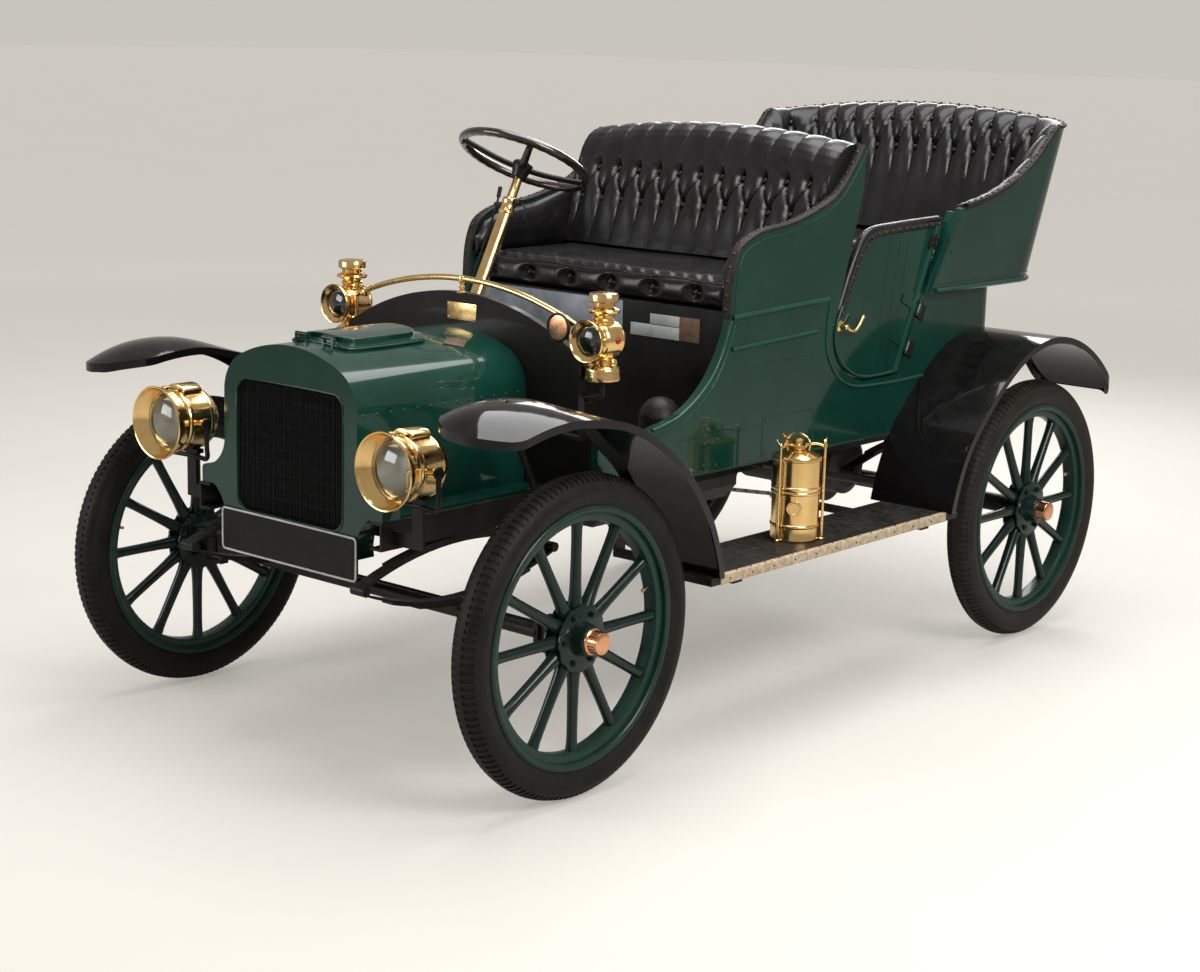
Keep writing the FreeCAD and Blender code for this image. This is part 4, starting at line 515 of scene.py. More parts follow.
def pale(name, shown, real):
    """A matt floor that glows a little where the camera sees it, and more so far away."""
    material, tree, shader, where = fresh(name)
    cloud = use(tree, patches, where, Scale=0.7)
    far = wired(tree, "VectorMath", {0: where})
    far.operation = "LENGTH"
    distance = spread(tree, math_node(tree, "MULTIPLY", far.outputs["Value"], 0.1), 0.62, 1.0)
    glow = math_node(tree, "MULTIPLY", seen_by_camera(tree, 0.4), distance)
    plug(tree, shader, {"Roughness": 0.75, "Base Color": mixed(tree, cloud, real, tuple(c * 0.96 for c in real)),
                        "Emission Color": mixed(tree, glow, (0, 0, 0), shown), "Emission Strength": 1.0})
    return material


bpy.ops.mesh.primitive_grid_add(x_subdivisions=8, y_subdivisions=8, size=160)
floor_sheet = bpy.context.object
floor_sheet.name = "studio_floor"
painted(floor_sheet, pale("pale studio floor", (0.46, 0.44, 0.405), (0.50, 0.48, 0.445)))

world = bpy.data.worlds.new("studio")
bpy.context.scene.world = world
world.use_nodes = True
sky = world.node_tree
plug(sky, sky.nodes["Background"], {"Color": (0.97, 0.925, 0.86, 1),
                                    "Strength": spread(sky, seen_by_camera(sky, 0.45), 0.24, 0.60)})


def soft_lamp(name, place, target, width, height, power, colour=(1, 1, 1)):
    light = bpy.data.lights.new(name, "AREA")
    light.shape = "RECTANGLE"
    light.size = width
    light.size_y = height
    light.energy = power
    light.color = colour
    lamp = bpy.data.objects.new(name, light)
    lamp.location = place
    lamp.rotation_euler = (Vector(target) - Vector(place)).to_track_quat("-Z", "Y").to_euler()
    bpy.context.collection.objects.link(lamp)


soft_lamp("overhead", (0.3, 0.4, 4.6), (0, 0.2, 0.8), 4.2, 3.2, 210)
soft_lamp("key", (4.6, -1.2, 3.6), (0, 0, 0.8), 2.6, 2.2, 190, (1, 0.98, 0.95))
soft_lamp("front fill", (-2.6, -5.4, 2.2), (0, -0.6, 0.7), 3.0, 2.0, 120)
soft_lamp("back glow", (-2.0, 4.6, 3.2), (0, 0.6, 1.1), 3.0, 1.6, 110)

PHOTO_WIDTH, FOCAL_PIXELS, SENSOR = 1200, 2218.34, 36
YAW, PITCH, ROLL = (math.radians(v) for v in (40.36, 11.93, 1.55))
camera_data = bpy.data.cameras.new("photographer")
camera_data.sensor_width = SENSOR
camera_data.lens = FOCAL_PIXELS / PHOTO_WIDTH * SENSOR
camera = bpy.data.objects.new("photographer", camera_data)
bpy.context.collection.objects.link(camera)
back = Vector((math.sin(YAW) * math.cos(PITCH), -math.cos(YAW) * math.cos(PITCH), math.sin(PITCH)))
level = (-back).cross(UP).normalized()
upright = level.cross(-back)
tilted = math.cos(ROLL) * level + math.sin(ROLL) * upright
crown = -math.sin(ROLL) * level + math.cos(ROLL) * upright
turn = Matrix((tilted, crown, back)).transposed().to_4x4()
camera.matrix_world = Matrix.Translation(at(4105.17, -3912.38, 1875.03)) @ turn
bpy.context.scene.camera = camera
bpy.context.scene.view_settings.view_transform = "Standard"
print("camera at", [round(v, 3) for v in camera.location])

# %% [markdown]
# ## Wheels
# An artillery wheel has twelve round wooden spokes wedged together at the hub between two iron flanges, a wooden
# felloe, and a steel rim whose rolled edges hold the tyre. One wheel is made at the front left corner and copied
# to the other three. Round parts are turned, the flanges are plates with a scalloped edge, the cap gets its fine
# flutes by moving every other row of its outline inwards.

# %% Wheel measures
HUB = at(711, 0, 406.4)
SPOKES = 12
print("wheel centre", [round(v, 3) for v in HUB])


# %% Rim, felloe and spokes
def wheel_rim():
    """The wooden felloe and the steel band with its two rolled edges."""
    wood = [(-22, 294), (-20, 290), (-15, 288), (15, 288), (20, 290), (22, 294), (22, 312), (-22, 312)]
    steel = [(-33, 311), (33, 311), (37, 315), (38.5, 320), (37.5, 325), (34.5, 328), (31.5, 326.5), (31.5, 322),
             (28, 318), (-28, 318), (-31.5, 322), (-31.5, 326.5), (-34.5, 328), (-37.5, 325), (-38.5, 320), (-37, 315)]
    return [painted(turned("felloe", wood, HUB, OUTWARD, 96, 30), rim_green),
            painted(turned("rim_band", steel, HUB, OUTWARD, 96, 40), rim_green)]


def wheel_spokes():
    """One turned spoke and its copies round the hub."""
    profile = [(30, 0), (30, 19), (62, 19), (84, 18.2), (104, 15.8), (130, 14.4), (190, 13.4), (245, 13.2),
               (270, 13.8), (282, 15.4), (290, 15.6), (290, 0)]
    first = painted(turned("spoke", profile, HUB, UP, 16, 40), wheel_green)
    spokes = [first]
    for number in range(1, SPOKES):
        turn = Matrix.Rotation(math.tau * number / SPOKES, 4, "X")
        spokes.append(twin(first, f"spoke_{number}", Matrix.Translation(HUB) @ turn @ Matrix.Translation(-HUB)))
    return spokes


# %% Hub with its flanges, bolts and fluted cap
BOLTS, BOLT_CIRCLE = 6, 65
FLUTES, FLUTE_DEPTH = 40, 1.3


def around_hub(x, radius, angle):
    """A point of the wheel at a distance out along the axle, a radius and an angle."""
    return HUB + Vector((x, radius * math.sin(angle), radius * math.cos(angle))) / 1000


def hub_flange(x, thick):
    rim = [around_hub(x, 83 + 2.0 * math.cos(SPOKES * turn), turn)
           for turn in (math.tau * k / 144 for k in range(144))]
    return painted(plate("hub_flange", rim, OUTWARD * thick / 1000, 1.2), wheel_green)


def hub_bolts(x):
    profile = [(0, 0), (0, 7), (1, 8), (6, 8), (7.5, 6.5), (7.5, 4.4), (10, 4.2), (11, 3), (11, 0)]
    nut = painted(turned("hub_nut", profile, ORIGIN, UP, 6, 20), wheel_green)
    places = [(around_hub(x, BOLT_CIRCLE, math.tau * (k + 0.5) / BOLTS), OUTWARD) for k in range(BOLTS)]
    bolts = stood("hub_bolts", nut, places)
    dropped(nut)
    return bolts


def hub_body():
    profile = [(-44, 17), (-44, 34), (-40, 37), (-22, 38), (-22, 45), (22, 45), (27, 44), (34, 41), (52, 38.5),
               (57, 36.5), (58, 34), (58, 17)]
    return painted(turned("hub_body", profile, HUB, OUTWARD, 48, 32), wheel_green)


def fluted_cap(start):
    """Copper cap: a turned shell whose ring of points goes in and out around its barrel."""
    profile = [(start, 16.5), (start, 31.5), (start + 2, 33), (start + 6, 33), (start + 8, 30.5), (start + 9, 29.4),
               (88, 28.6), (90, 27.2), (92, 27), (94, 22), (94.9, 16), (95, 8), (95, 0), (91, 0), (88, 16.5)]
    cap = turned("hub_cap", profile, HUB, OUTWARD, FLUTES * 2, 28)
    for vertex in cap.data.vertices:
        out = vertex.co - HUB
        x, radius = out.x * 1000, math.hypot(out.y, out.z) * 1000
        flute = round(math.atan2(out.y, out.z) / math.tau * FLUTES * 2) % 2
        if flute and start + 8 < x < 89 and radius > 25:
            inward = 1 - FLUTE_DEPTH / radius
            vertex.co = Vector((vertex.co.x, HUB.y + out.y * inward, HUB.z + out.z * inward))
    return painted(cap, copper)


def valve_stem():
    angle = math.tau * 2.5 / SPOKES
    inner = around_hub(0, 262, angle)
    profile = [(0, 0), (0, 3.4), (1.5, 4.6), (12, 4.6), (13, 3.2), (24, 3.2), (27, 3.2), (27, 0)]
    return painted(turned("valve_stem", profile, inner, inner - HUB, 16), dull_brass)


def make_wheel(name, cap_start):
    pieces = wheel_rim() + wheel_spokes() + [hub_flange(20, 6), hub_flange(-26, 6), hub_bolts(26), hub_body(),
                                             fluted_cap(cap_start), valve_stem()]
    return joined(name, pieces)


front_pair = [make_wheel("front_wheel_left", 57)]
rear_pair = [make_wheel("rear_wheel_left", 46)]
print("one wheel has", len(front_pair[0].data.polygons), "faces")

# %% [markdown]
# ## Tyres
# The tyre is a plain round section with a flat band of tread and rubber blocks on both shoulders. The section is
# spun round the hub, and then every other face of the shoulders is pushed in a little, which leaves the blocks
# standing. This is real relief, so the teeth show on the outline as in the photograph.

# %% Tyre section and its blocks
TREAD_STEPS = 264
GROOVE = 0.0028
TYRE_MIDDLE, TYRE_RADIUS = 361.4, 44.5


def make_tyre(name, material):
    ring = [(-32, 322)]
    for k in range(25):
        turn = math.radians(-128 + 256 * k / 24)
        flat = 1.6 if abs(math.degrees(turn)) < 24 else 0
        ring.append((TYRE_RADIUS * math.sin(turn), TYRE_MIDDLE + TYRE_RADIUS * math.cos(turn) - flat))
    ring += [(32, 322), (26, 325), (-26, 325)]
    tyre = turned(name, ring, HUB, OUTWARD, TREAD_STEPS, 38)
    edit(tyre)
    bpy.ops.mesh.select_mode(type="FACE")
    bpy.ops.mesh.select_all(action="DESELECT")
    bpy.ops.object.mode_set(mode="OBJECT")
    for face in tyre.data.polygons:
        out = face.center - HUB
        radius = math.hypot(out.y, out.z) * 1000
        step = int((math.atan2(out.y, out.z) / math.tau + 1) * TREAD_STEPS)
        face.select = 386 < radius < 402.5 and (step + (out.x > 0)) % 2 == 0
    bpy.ops.object.mode_set(mode="EDIT")
    bpy.ops.mesh.extrude_region_shrink_fatten(TRANSFORM_OT_shrink_fatten={"value": -GROOVE})
    bpy.ops.mesh.select_all(action="DESELECT")
    bpy.ops.object.mode_set(mode="OBJECT")
    bpy.ops.object.shade_smooth_by_angle(angle=math.radians(32))
    return painted(tyre, material)


front_pair.append(make_tyre("front_tyre_left", tyre_front))
rear_pair.append(make_tyre("rear_tyre_left", tyre_rear))
print("one tyre has", len(front_pair[1].data.polygons), "faces")

# %% Copies for the other corners
def carried(pair, matrix, word):
    """Copies of a wheel and its tyre for another corner."""
    return [twin(piece, piece.name.replace("left", word), matrix) for piece in pair]


HALF_TURN = Matrix.Translation(at(0, 0, 0)) @ Matrix.Rotation(math.pi, 4, "Z") @ Matrix.Translation(-at(0, 0, 0))
TO_REAR = Matrix.Translation((0, WHEEL_BASE / 1000, 0))
corners = {"front_left": front_pair, "front_right": carried(front_pair, HALF_TURN, "right"),
           "rear_right": carried(rear_pair, TO_REAR @ HALF_TURN, "right"),
           "rear_left": carried(rear_pair, TO_REAR, "left_set")}
for piece in rear_pair:
    dropped(piece)
for corner, (wheel, tyre) in corners.items():
    settle(wheel, [f"wheel_{corner}"], f"wheel_{corner}")
    settle(tyre, [f"tyre_{corner}"], f"wheel_{corner}")
print("wheels stand at", list(corners))

# %% [markdown]
# ## Buttoned leather
# The seat backs are stuffed leather held down by buttons. Between the buttons the leather folds in sharp creases
# that run as diamonds, and above the top row and below the bottom row they run on as straight pleats. A simulation
# would lose creases this thin, so the shape is given by a formula: each point of a fine grid is pushed out by how far
# it lies from the nearest crease. The grid wraps the whole section of the pad and closes on itself.

# %% Formula of the folds
def crease(slope, pitch, width):
    """1 on a crease, falling to 0 a few millimetres beside it."""
    return math.exp(-(slope * pitch / math.pi / width) ** 2)


def fold(across, up, pitch, rows, full=17, sharp=4.5, dimple=11):
    """How far the leather stands out: full pillows between thin creases, and a dimple at each button."""
    low_row, high_row = rows
    column = across / pitch
    if up >= high_row:
        side = abs(math.sin(math.pi * (column + 0.5)))
        pillow, line = side ** 0.75, crease(side, pitch, 3.4)
        calm = 1 - 0.72 * ease(up, high_row, high_row + 42)
    elif up <= low_row:
        side = abs(math.sin(math.pi * column))
        pillow, line = side ** 0.6, crease(side, pitch, 4.5)
        calm = 0.16 + 0.84 * ease(up, low_row - 118, low_row - 4)
    else:
        level = (up - low_row) / (high_row - low_row) / 2
        a = abs(math.sin(math.pi * (column + level)))
        b = abs(math.sin(math.pi * (column - level)))
        pillow, line = (a * b) ** 0.36, max(crease(a, pitch, 4), crease(b, pitch, 4))
        calm = 1
    deep = 0
    for row, offset in ((low_row, 0), (high_row, 0.5)):
        beside = (column - offset - round(column - offset)) * pitch
        deep = max(deep, math.exp(-(math.hypot(beside, (up - row) * 0.8) / 16) ** 2))
    return calm * (full * (pillow - 0.62) - sharp * line) - dimple * deep


def loop_body(name, across, around, place, smooth=60):
    """A closed pad from a grid: rows go across the piece, columns go round its section and meet."""
    bpy.ops.mesh.primitive_grid_add(x_subdivisions=across, y_subdivisions=around, size=2)
    pad = bpy.context.object
    pad.name = name
    for vertex in pad.data.vertices:
        vertex.co = place((vertex.co.x + 1) / 2, (vertex.co.y + 1) / 2)
    edit(pad)
    bpy.ops.mesh.remove_doubles(threshold=0.00008)
    bpy.ops.mesh.select_all(action="SELECT")
    bpy.ops.mesh.fill_holes(sides=0)
    bpy.ops.object.mode_set(mode="OBJECT")
    return clean(pad, smooth, 0.00002)


def ease(value, low, high):
    """0 below, 1 above, and a soft step between."""
    t = min(max((value - low) / (high - low), 0), 1)
    return t * t * (3 - 2 * t)


def along(run, share):
    """A point of an open run of (y, z) at a share of its length."""
    lengths = [math.dist(a, b) for a, b in zip(run, run[1:])]
    left = share * sum(lengths)
    for (a, b), length in zip(zip(run, run[1:]), lengths):
        if left <= length or (a, b) == (run[-2], run[-1]):
            t = min(left / length, 1) if length else 0
            return a[0] + (b[0] - a[0]) * t, a[1] + (b[1] - a[1]) * t
        left -= length
    return run[-1]


print("on a crease", round(fold(0, 100, 80, (190, 288)), 1), "between two", round(fold(40, 100, 80, (190, 288)), 1))

# %% [markdown]
# ## Front seat back
# It leans on a board, its top edge crowned, and the leather rolls over the board's edge and is nailed behind it.
# The section is the leaning front, the roll, a short lip behind the board, and the hidden back of the pad.

# %% Section of the front seat back
REST_HALF = 476.5
REST_FOOT = 1198.5
REST_CHANNELS = 12
REST_PITCH = 2 * REST_HALF / REST_CHANNELS
REST_ROWS = (148, 244)
REST_SHARE = 0.8


def rest_crown(x):
    """Height of the back's top edge."""
    return 1558 - 42 * (x / 520) ** 2


def rest_face(z):
    """How far back the leaning front lies at a height."""
    rise = z - 1197
    return 1245 + 0.355 * rise + 21.3 * (rise / 371) ** 5.7


def rest_section(x):
    """Front face with its roll as one run, and the hidden back as another."""
    top = rest_crown(x)
    last = top - 46
    heights = [REST_FOOT + (last - REST_FOOT) * k / 14 for k in range(15)]
    face = [(rest_face(z), z) for z in heights]
    squeeze = (1443 - face[-1][0]) / (1443 - 1372)
    roll = [(1383, top - 24), (1397, top - 5), (1415, top + 8), (1432, top + 14), (1446, top + 16)]
    roll = [(1443 + (y - 1443) * squeeze, z) for y, z in roll]
    roll += [(1460, top + 12), (1471, top + 2), (1476, top - 8), (1476.5, top - 17)]
    back = [(1476.5, top - 17), (1473, top - 17), (1472.8, top - 1), (1470, top + 1.5), (1452, top + 1.5),
            (1449.5, top - 4), (1449.5, 1486), (1362, REST_FOOT), (rest_face(REST_FOOT), REST_FOOT)]
    return face + roll, back


def rest_point(u, v):
    x = REST_HALF * (2 * u - 1)
    front, back = rest_section(x)
    if v > REST_SHARE:
        y, z = along(back, (v - REST_SHARE) / (1 - REST_SHARE))
        return at(x, y, z)
    t = v / REST_SHARE
    y, z = along(front, t)
    y2, z2 = along(front, min(t + 0.01, 1))
    y1, z1 = along(front, max(t - 0.01, 0))
    slope = math.hypot(y2 - y1, z2 - z1) or 1
    length = length_of(front)
    up = t * length
    push = fold(x + REST_PITCH / 2, up, REST_PITCH, REST_ROWS)
    fade = (1 - ease(up, length - 30, length - 4)) * ease(up, 0, 26) * ease(REST_HALF - abs(x), 0, 14)
    push *= fade
    return at(x, y - (z2 - z1) / slope * push, z + (y2 - y1) / slope * push)


front_rest = painted(loop_body("front_seat_back", 216, 150, rest_point), leather)
settle(front_rest, ["front_backrest"])
print("front seat back:", len(front_rest.data.polygons), "faces, channels", REST_CHANNELS)

# %% [markdown]
# ## Buttons and nails
# A leather button is a small dome with a soft rim; a japanned nail is a smaller and flatter one. Each is turned
# once and then stands many times: buttons on every crossing of the creases, nails along the edges.

# %% Button and nail
BUTTON = [(-2, 0), (-2, 6.5), (0, 8.2), (2.4, 8.4), (4.6, 7), (6.2, 4.4), (6.8, 2), (6.9, 0)]
NAIL = [(-3, 0), (-3, 3), (0, 5.6), (1.6, 5.2), (3, 3.6), (3.8, 1.6), (4, 0)]
BUTTON_SINK = 0.0178
button_model = painted(turned("button", BUTTON, ORIGIN, UP, 12, 60), leather)
nail_model = painted(turned("nail", NAIL, ORIGIN, UP, 10, 60), nail_black)


def rest_buttons():
    places = []
    for row, offset in zip(REST_ROWS, (0.0, 0.5)):
        for number in range(-7, 7):
            x = (number + offset + 0.5) * REST_PITCH - REST_PITCH / 2 - REST_PITCH / 2
            if abs(x) > REST_HALF - 24:
                continue
            front, _ = rest_section(x)
            share = row / length_of(front)
            y, z = along(front, share)
            y2, z2 = along(front, share + 0.01)
            slope = math.hypot(y2 - y, z2 - z)
            out = Vector((0, -(z2 - z) / slope, (y2 - y) / slope))
            places.append((at(x, y, z) - out * BUTTON_SINK, out))
    return places


rest_button_set = stood("front_back_buttons", button_model, rest_buttons())
settle(rest_button_set)
edge_places = [(at(x, 1476, rest_crown(x) - 9), Vector((0, 1, 0.2))) for x in (-470 + 940 * k / 24 for k in range(25))]
settle(stood("front_back_nails", nail_model, edge_places))
print(len(rest_button_set.data.polygons), "button faces")

# %% [markdown]
# ## Arms of the front seat
# Inside each body side lies a flat padded panel, and a leather binding is nailed over the side's upper edge, from the
# seat board up to the top of the seat back. The binding is a soft strip swept along that edge; its section is a flat
# oval that wraps the panel's edge.

# %% Arm panel
SIDES = ((1, "left"), (-1, "right"))
SEAT_EDGE = [(853, 1090), (857, 1180), (872, 1241), (902, 1281), (984, 1312), (1122, 1329), (1240, 1359), (1335, 1397),
             (1413, 1470), (1462, 1534)]


def seat_edge_height(y):
    """Height of the side's edge at a place along it."""
    for (y0, z0), (y1, z1) in zip(SEAT_EDGE, SEAT_EDGE[1:]):
        if y0 <= y <= y1:
            return z0 + (z1 - z0) * (y - y0) / (y1 - y0)
    return SEAT_EDGE[-1][1] if y > 1400 else SEAT_EDGE[0][1]


ARM_FOOT = 1184


def arm_point(side):
    def place(u, v):
        """u runs back along the arm, v goes round: up the inner face, over the top, down the outer face."""
        y = 866 + 458 * u
        top = min(seat_edge_height(max(y, 872)) - 14, 1440)
        lean = rest_face(min(max(top - 40, 1199), 1500))
        y -= max(0, y - (lean - 14))
        if v < 0.55:
            t = v / 0.55
            z = ARM_FOOT + (top - ARM_FOOT) * t
            swell = math.sin(math.pi * min(max(t, 0), 1)) ** 0.6
            bulge = 24 * swell * math.sin(math.pi * min(max(u, 0.02), 0.98)) ** 0.35
            return at(side * (476 - 12 - bulge), y, z)
        if v < 0.65:
            t = (v - 0.55) / 0.1
            return at(side * (464 + 12 * t), y, top + 3 * math.sin(math.pi * t))
        t = (v - 0.65) / 0.35
        if t < 0.7:
            return at(side * 476.5, y, top - (top - ARM_FOOT) * t / 0.7)
        return at(side * (476.5 - 12.5 * (t - 0.7) / 0.3), y, ARM_FOOT)
    return place


arms = joined("front_arm_panels", [painted(loop_body(f"arm_pad_{word}", 56, 48, arm_point(side)), leather)
                                   for side, word in SIDES])
settle(arms, ["front_arm_pads"])


# %% Bindings with their nails
def upward_normal(wide, ahead):
    """Across the strip, on the side that looks up or outwards."""
    tall = wide.cross(ahead).normalized()
    return -tall if tall.z < -0.2 or (abs(tall.z) <= 0.2 and tall.y > 0) else tall


def binding_strip(name, run, sideways, half_width, half_height):
    """A soft strip swept along a run, with a flat oval section; sideways says which way its width lies."""
    count = len(run) - 1

    def place(u, v):
        index = min(int(round(u * count)), count)
        point = run[index]
        ahead = (run[min(index + 1, count)] - run[max(index - 1, 0)]).normalized()
        wide = sideways(ahead)
        tall = upward_normal(wide, ahead)
        turn = math.tau * v
        c, s = math.cos(turn), math.sin(turn)
        squash = 1 / (abs(c) ** 2.6 + abs(s) ** 2.6) ** (1 / 2.6)
        return point + (wide * half_width * c * squash + tall * half_height * s * squash) / 1000
    return painted(loop_body(name, count, 20, place, 50), binding)


def nail_row(name, run, sideways, lift, step):
    places = []
    for point, ahead in spaced(run, step):
        up = upward_normal(sideways(ahead), ahead)
        places.append((point + up * lift / 1000, up))
    return stood(name, nail_model, places)


def straight_across(ahead):
    return OUTWARD


for side, word in SIDES:
    edge_run = smooth_run([at(side * 489, y, z) for y, z in SEAT_EDGE], 8)
    settle(joined(f"seat_binding_{word}", [
        binding_strip(f"binding_{word}", edge_run, straight_across, 15.5, 7),
        nail_row(f"binding_nails_{word}", edge_run, straight_across, 6.2, 38)]))
print("arms and bindings made")

# %% [markdown]
# ## Seat cushions
# A spring cushion has a crowned top, a stuffed front border with large buttons, and a welt between the two.
# Here cloth simulation is used: a slightly smaller block is remeshed to even cells, blown up under pressure for a
# few frames with gravity off, and no point may move more than a set distance. Then the pleats, the dimples of the
# buttons and the welt's groove are pressed in along the grid of points.

# %% Blow up a cushion
STUFFING_FRAMES = 14


def inflated(obj, cell, limit):
    """Cloth pressure on a remeshed copy; every point's travel is capped."""
    only(obj)
    obj.data.remesh_voxel_size = cell
    bpy.ops.object.voxel_remesh()
    before = [vertex.co.copy() for vertex in obj.data.vertices]
    cloth = obj.modifiers.new("stuffing", "CLOTH")
    cloth.settings.use_pressure = True
    cloth.settings.uniform_pressure_force = 4
    cloth.settings.effector_weights.gravity = 0
    cloth.settings.tension_stiffness = 12
    scene = bpy.context.scene
    for number in range(1, STUFFING_FRAMES + 1):
        scene.frame_set(number)
    bpy.ops.object.modifier_apply(modifier="stuffing")
    scene.frame_set(1)
    for vertex, start in zip(obj.data.vertices, before):
        move = vertex.co - start
        if move.length > limit:
            vertex.co = start + move.normalized() * limit


front_cushion = block("front_seat_cushion", at(-464, 884, 1103), at(464, 1314, 1180), 16, 4)
inflated(front_cushion, 0.0085, 0.012)
low, high = Vector(front_cushion.bound_box[0]), Vector(front_cushion.bound_box[6])
print("cushion after stuffing:", [round(v * 1000) for v in (high - low)])


# %% Press in pleats, buttons and the welt
DIMPLE_X, DIMPLE_PITCH = 36, 155
ROW_PITCH = 150
CUSHION_ROWS = ((118, 0), (193, 0.5), (268, 0), (343, 0.5))


def beside_line(value, pitch):
    """Distance from the nearest of evenly spaced lines."""
    return ((value / pitch + 0.5) % 1 - 0.5) * pitch


def pressed_cushion(pad, front_y, back_y, top_z, half, pitch, floor_z, tufted=True):
    """Press gathers or tufts into the top, and dimples and a swell into the front border."""
    first_row = CUSHION_ROWS[0][0]
    welt_z = top_z - 20
    only(pad)
    smooth = pad.modifiers.new("finer", "SUBSURF")
    smooth.levels = smooth.render_levels = 1
    bpy.ops.object.modifier_apply(modifier="finer")
    face_y = (min(vertex.co.y for vertex in pad.data.vertices) - FRONT_AXLE_Y) * 1000
    print("front of the swollen pad at y", round(face_y, 1), "wanted", front_y)
    for vertex in pad.data.vertices:
        x = vertex.co.x * 1000
        y = (vertex.co.y - FRONT_AXLE_Y) * 1000
        z = vertex.co.z * 1000
        on_top = ease(z, top_z - 26, top_z - 8)
        on_front = ease(face_y + 42 - y, 0, 22) * (1 - on_top)
        edge = ease(half - abs(x), 4, 26)
        back = y - front_y
        if not tufted:
            gather = 0.5 + 0.5 * math.cos(x / 7.5 + back / 10 + 1.2 * math.sin(x / 61))
            swell = 0.5 - 0.5 * math.cos(x / 74 + 0.9 * math.sin(back / 90))
            down = 3.2 * gather * (1 - ease(back, 26, 120)) * ease(back, 3, 18) + 2.6 * swell
        elif back < first_row:
            groove = math.exp(-(beside_line(x, pitch) / 5.5) ** 2)
            down = 6.5 * groove * ease(back, 6, 40)
        else:
            a = abs(math.sin(math.pi * ((x / pitch) + (back - first_row) / ROW_PITCH)))
            b = abs(math.sin(math.pi * ((x / pitch) - (back - first_row) / ROW_PITCH)))
            down = 8 * (1 - (0.35 * max(a, b) + 0.65 * math.sqrt(a * b)) ** 0.7)
        for row, offset in CUSHION_ROWS:
            beside = ((x / pitch - offset + 0.5) % 1 - 0.5) * pitch
            down += 7 * tufted * math.exp(-(math.hypot(beside, back - row) / 12) ** 2)
        z_new = z - down * on_top * edge
        big = beside_line(x - DIMPLE_X, DIMPLE_PITCH)
        inward = 30 * math.exp(-(math.hypot(big, (z - (floor_z + 40)) * 1.2) / 25) ** 2) * on_front * edge
        inward += 3 * math.exp(-((z - welt_z) / 5) ** 2) * on_front * edge
        swell = math.sin(math.pi * max(0, min(1, (z - floor_z) / (welt_z - floor_z)))) ** 0.6
        inward -= (face_y - front_y + 1) * 0.8 * swell * on_front
        vertex.co = at(x, min(y + inward, back_y), max(z_new, floor_z))
    clean(pad, 60, FINE_MERGE)


pressed_cushion(front_cushion, 873, 1318, 1192, 476, 74, 1099.2, False)
painted(front_cushion, leather)
welt_run = [at(x, 871 + 1.5 * math.sin(x / 26), 1176 + 2.2 * math.sin(x / 39)) for x in range(-460, 461, 20)]
welt_run = [at(-472, 890, 1174)] + welt_run + [at(472, 890, 1174)]
welt = painted(tube("front_cushion_welt", welt_run, 3.6, fine=4, sides=2), leather)
border_buttons = [(at(DIMPLE_X + DIMPLE_PITCH * k, 898, 1139), Vector((0, -1, 0.1))) for k in range(-3, 3)]
big_buttons = stood("front_border_buttons", button_model, border_buttons)
front_cushion = joined("front_seat_cushion", [front_cushion, welt, big_buttons])
settle(front_cushion, ["front_cushion"])
print("front cushion:", len(front_cushion.data.polygons), "faces")

# %% [markdown]
# ## Rear seat
# Behind the doors the body is a horseshoe shaped tub. Its whole inside is lined with one long buttoned back that runs
# from one door post round the rear to the other, and rolls over the tub's edge, where a nailed binding covers it.
# The back is built along the line of the horseshoe: at each place its section starts at the seat, leans outwards
# with the tub's wall, and ends on top of the rim.

# %% Line of the horseshoe
TUB_FOOT, TUB_CROWN = 1085.0, 1612.0


TUB_CORNER = 150
FIRST_BEND, FIRST_END, SECOND_BEND, SECOND_END = 0.245, 0.305, 0.695, 0.755


def door_rear(z):
    """Y of the slanted line behind the door."""
    return 1691 + (z - 854) * (1905 - 1691) / (1308 - 854)


def tub_point(share, z, inset):
    """Point at a share of the way round from the left door to the right one, set in from the tub's outer face."""
    rise = (z - TUB_FOOT) / (TUB_CROWN - TUB_FOOT)
    half = 530 + 47 * rise - inset
    rear = 2478 + 122 * rise - inset
    corner = TUB_CORNER - inset
    front = door_rear(z) + 30
    if share <= FIRST_BEND:
        return at(half, front + (rear - corner - front) * (share / FIRST_BEND), z)
    if share <= FIRST_END:
        turn = (share - FIRST_BEND) / (FIRST_END - FIRST_BEND) * math.pi / 2
        return at(half - corner + corner * math.cos(turn), rear - corner + corner * math.sin(turn), z)
    if share <= SECOND_BEND:
        t = (share - FIRST_END) / (SECOND_BEND - FIRST_END)
        return at((half - corner) * (1 - 2 * t), rear, z)
    if share <= SECOND_END:
        turn = math.pi / 2 - (share - SECOND_BEND) / (SECOND_END - SECOND_BEND) * math.pi / 2
        return at(-(half - corner) - corner * math.cos(turn), rear - corner + corner * math.sin(turn), z)
    t = (share - SECOND_END) / (1 - SECOND_END)
    return at(-half, rear - corner + (front - rear + corner) * t, z)


RIM_RISE = smooth_run([Vector((y, 0, z)) for y, z in ((1700, 1322), (1857, 1330), (2055, 1357), (2200, 1397),
                                                      (2315, 1455), (2399, 1531), (2450, 1585), (2500, 1672))], 6)


def rim_height(point):
    """Height of the tub's edge above a point of the plan."""
    y = (point.y - FRONT_AXLE_Y) * 1000
    sweep = 1700.0
    for a, b in zip(RIM_RISE, RIM_RISE[1:]):
        if a.x <= y <= b.x:
            sweep = a.z + (b.z - a.z) * (y - a.x) / (b.x - a.x)
            break
    return min(sweep, TUB_CROWN - 68 * (point.x / 0.7) ** 2)


def rim_at(share, inset):
    """Height of the edge at a share of the way round: the wall leans, so a few steps close in on it."""
    z = 1450.0
    for _ in range(6):
        z = 0.5 * z + 0.5 * rim_height(tub_point(share, z, inset))
    return rim_height(tub_point(share, z, inset))


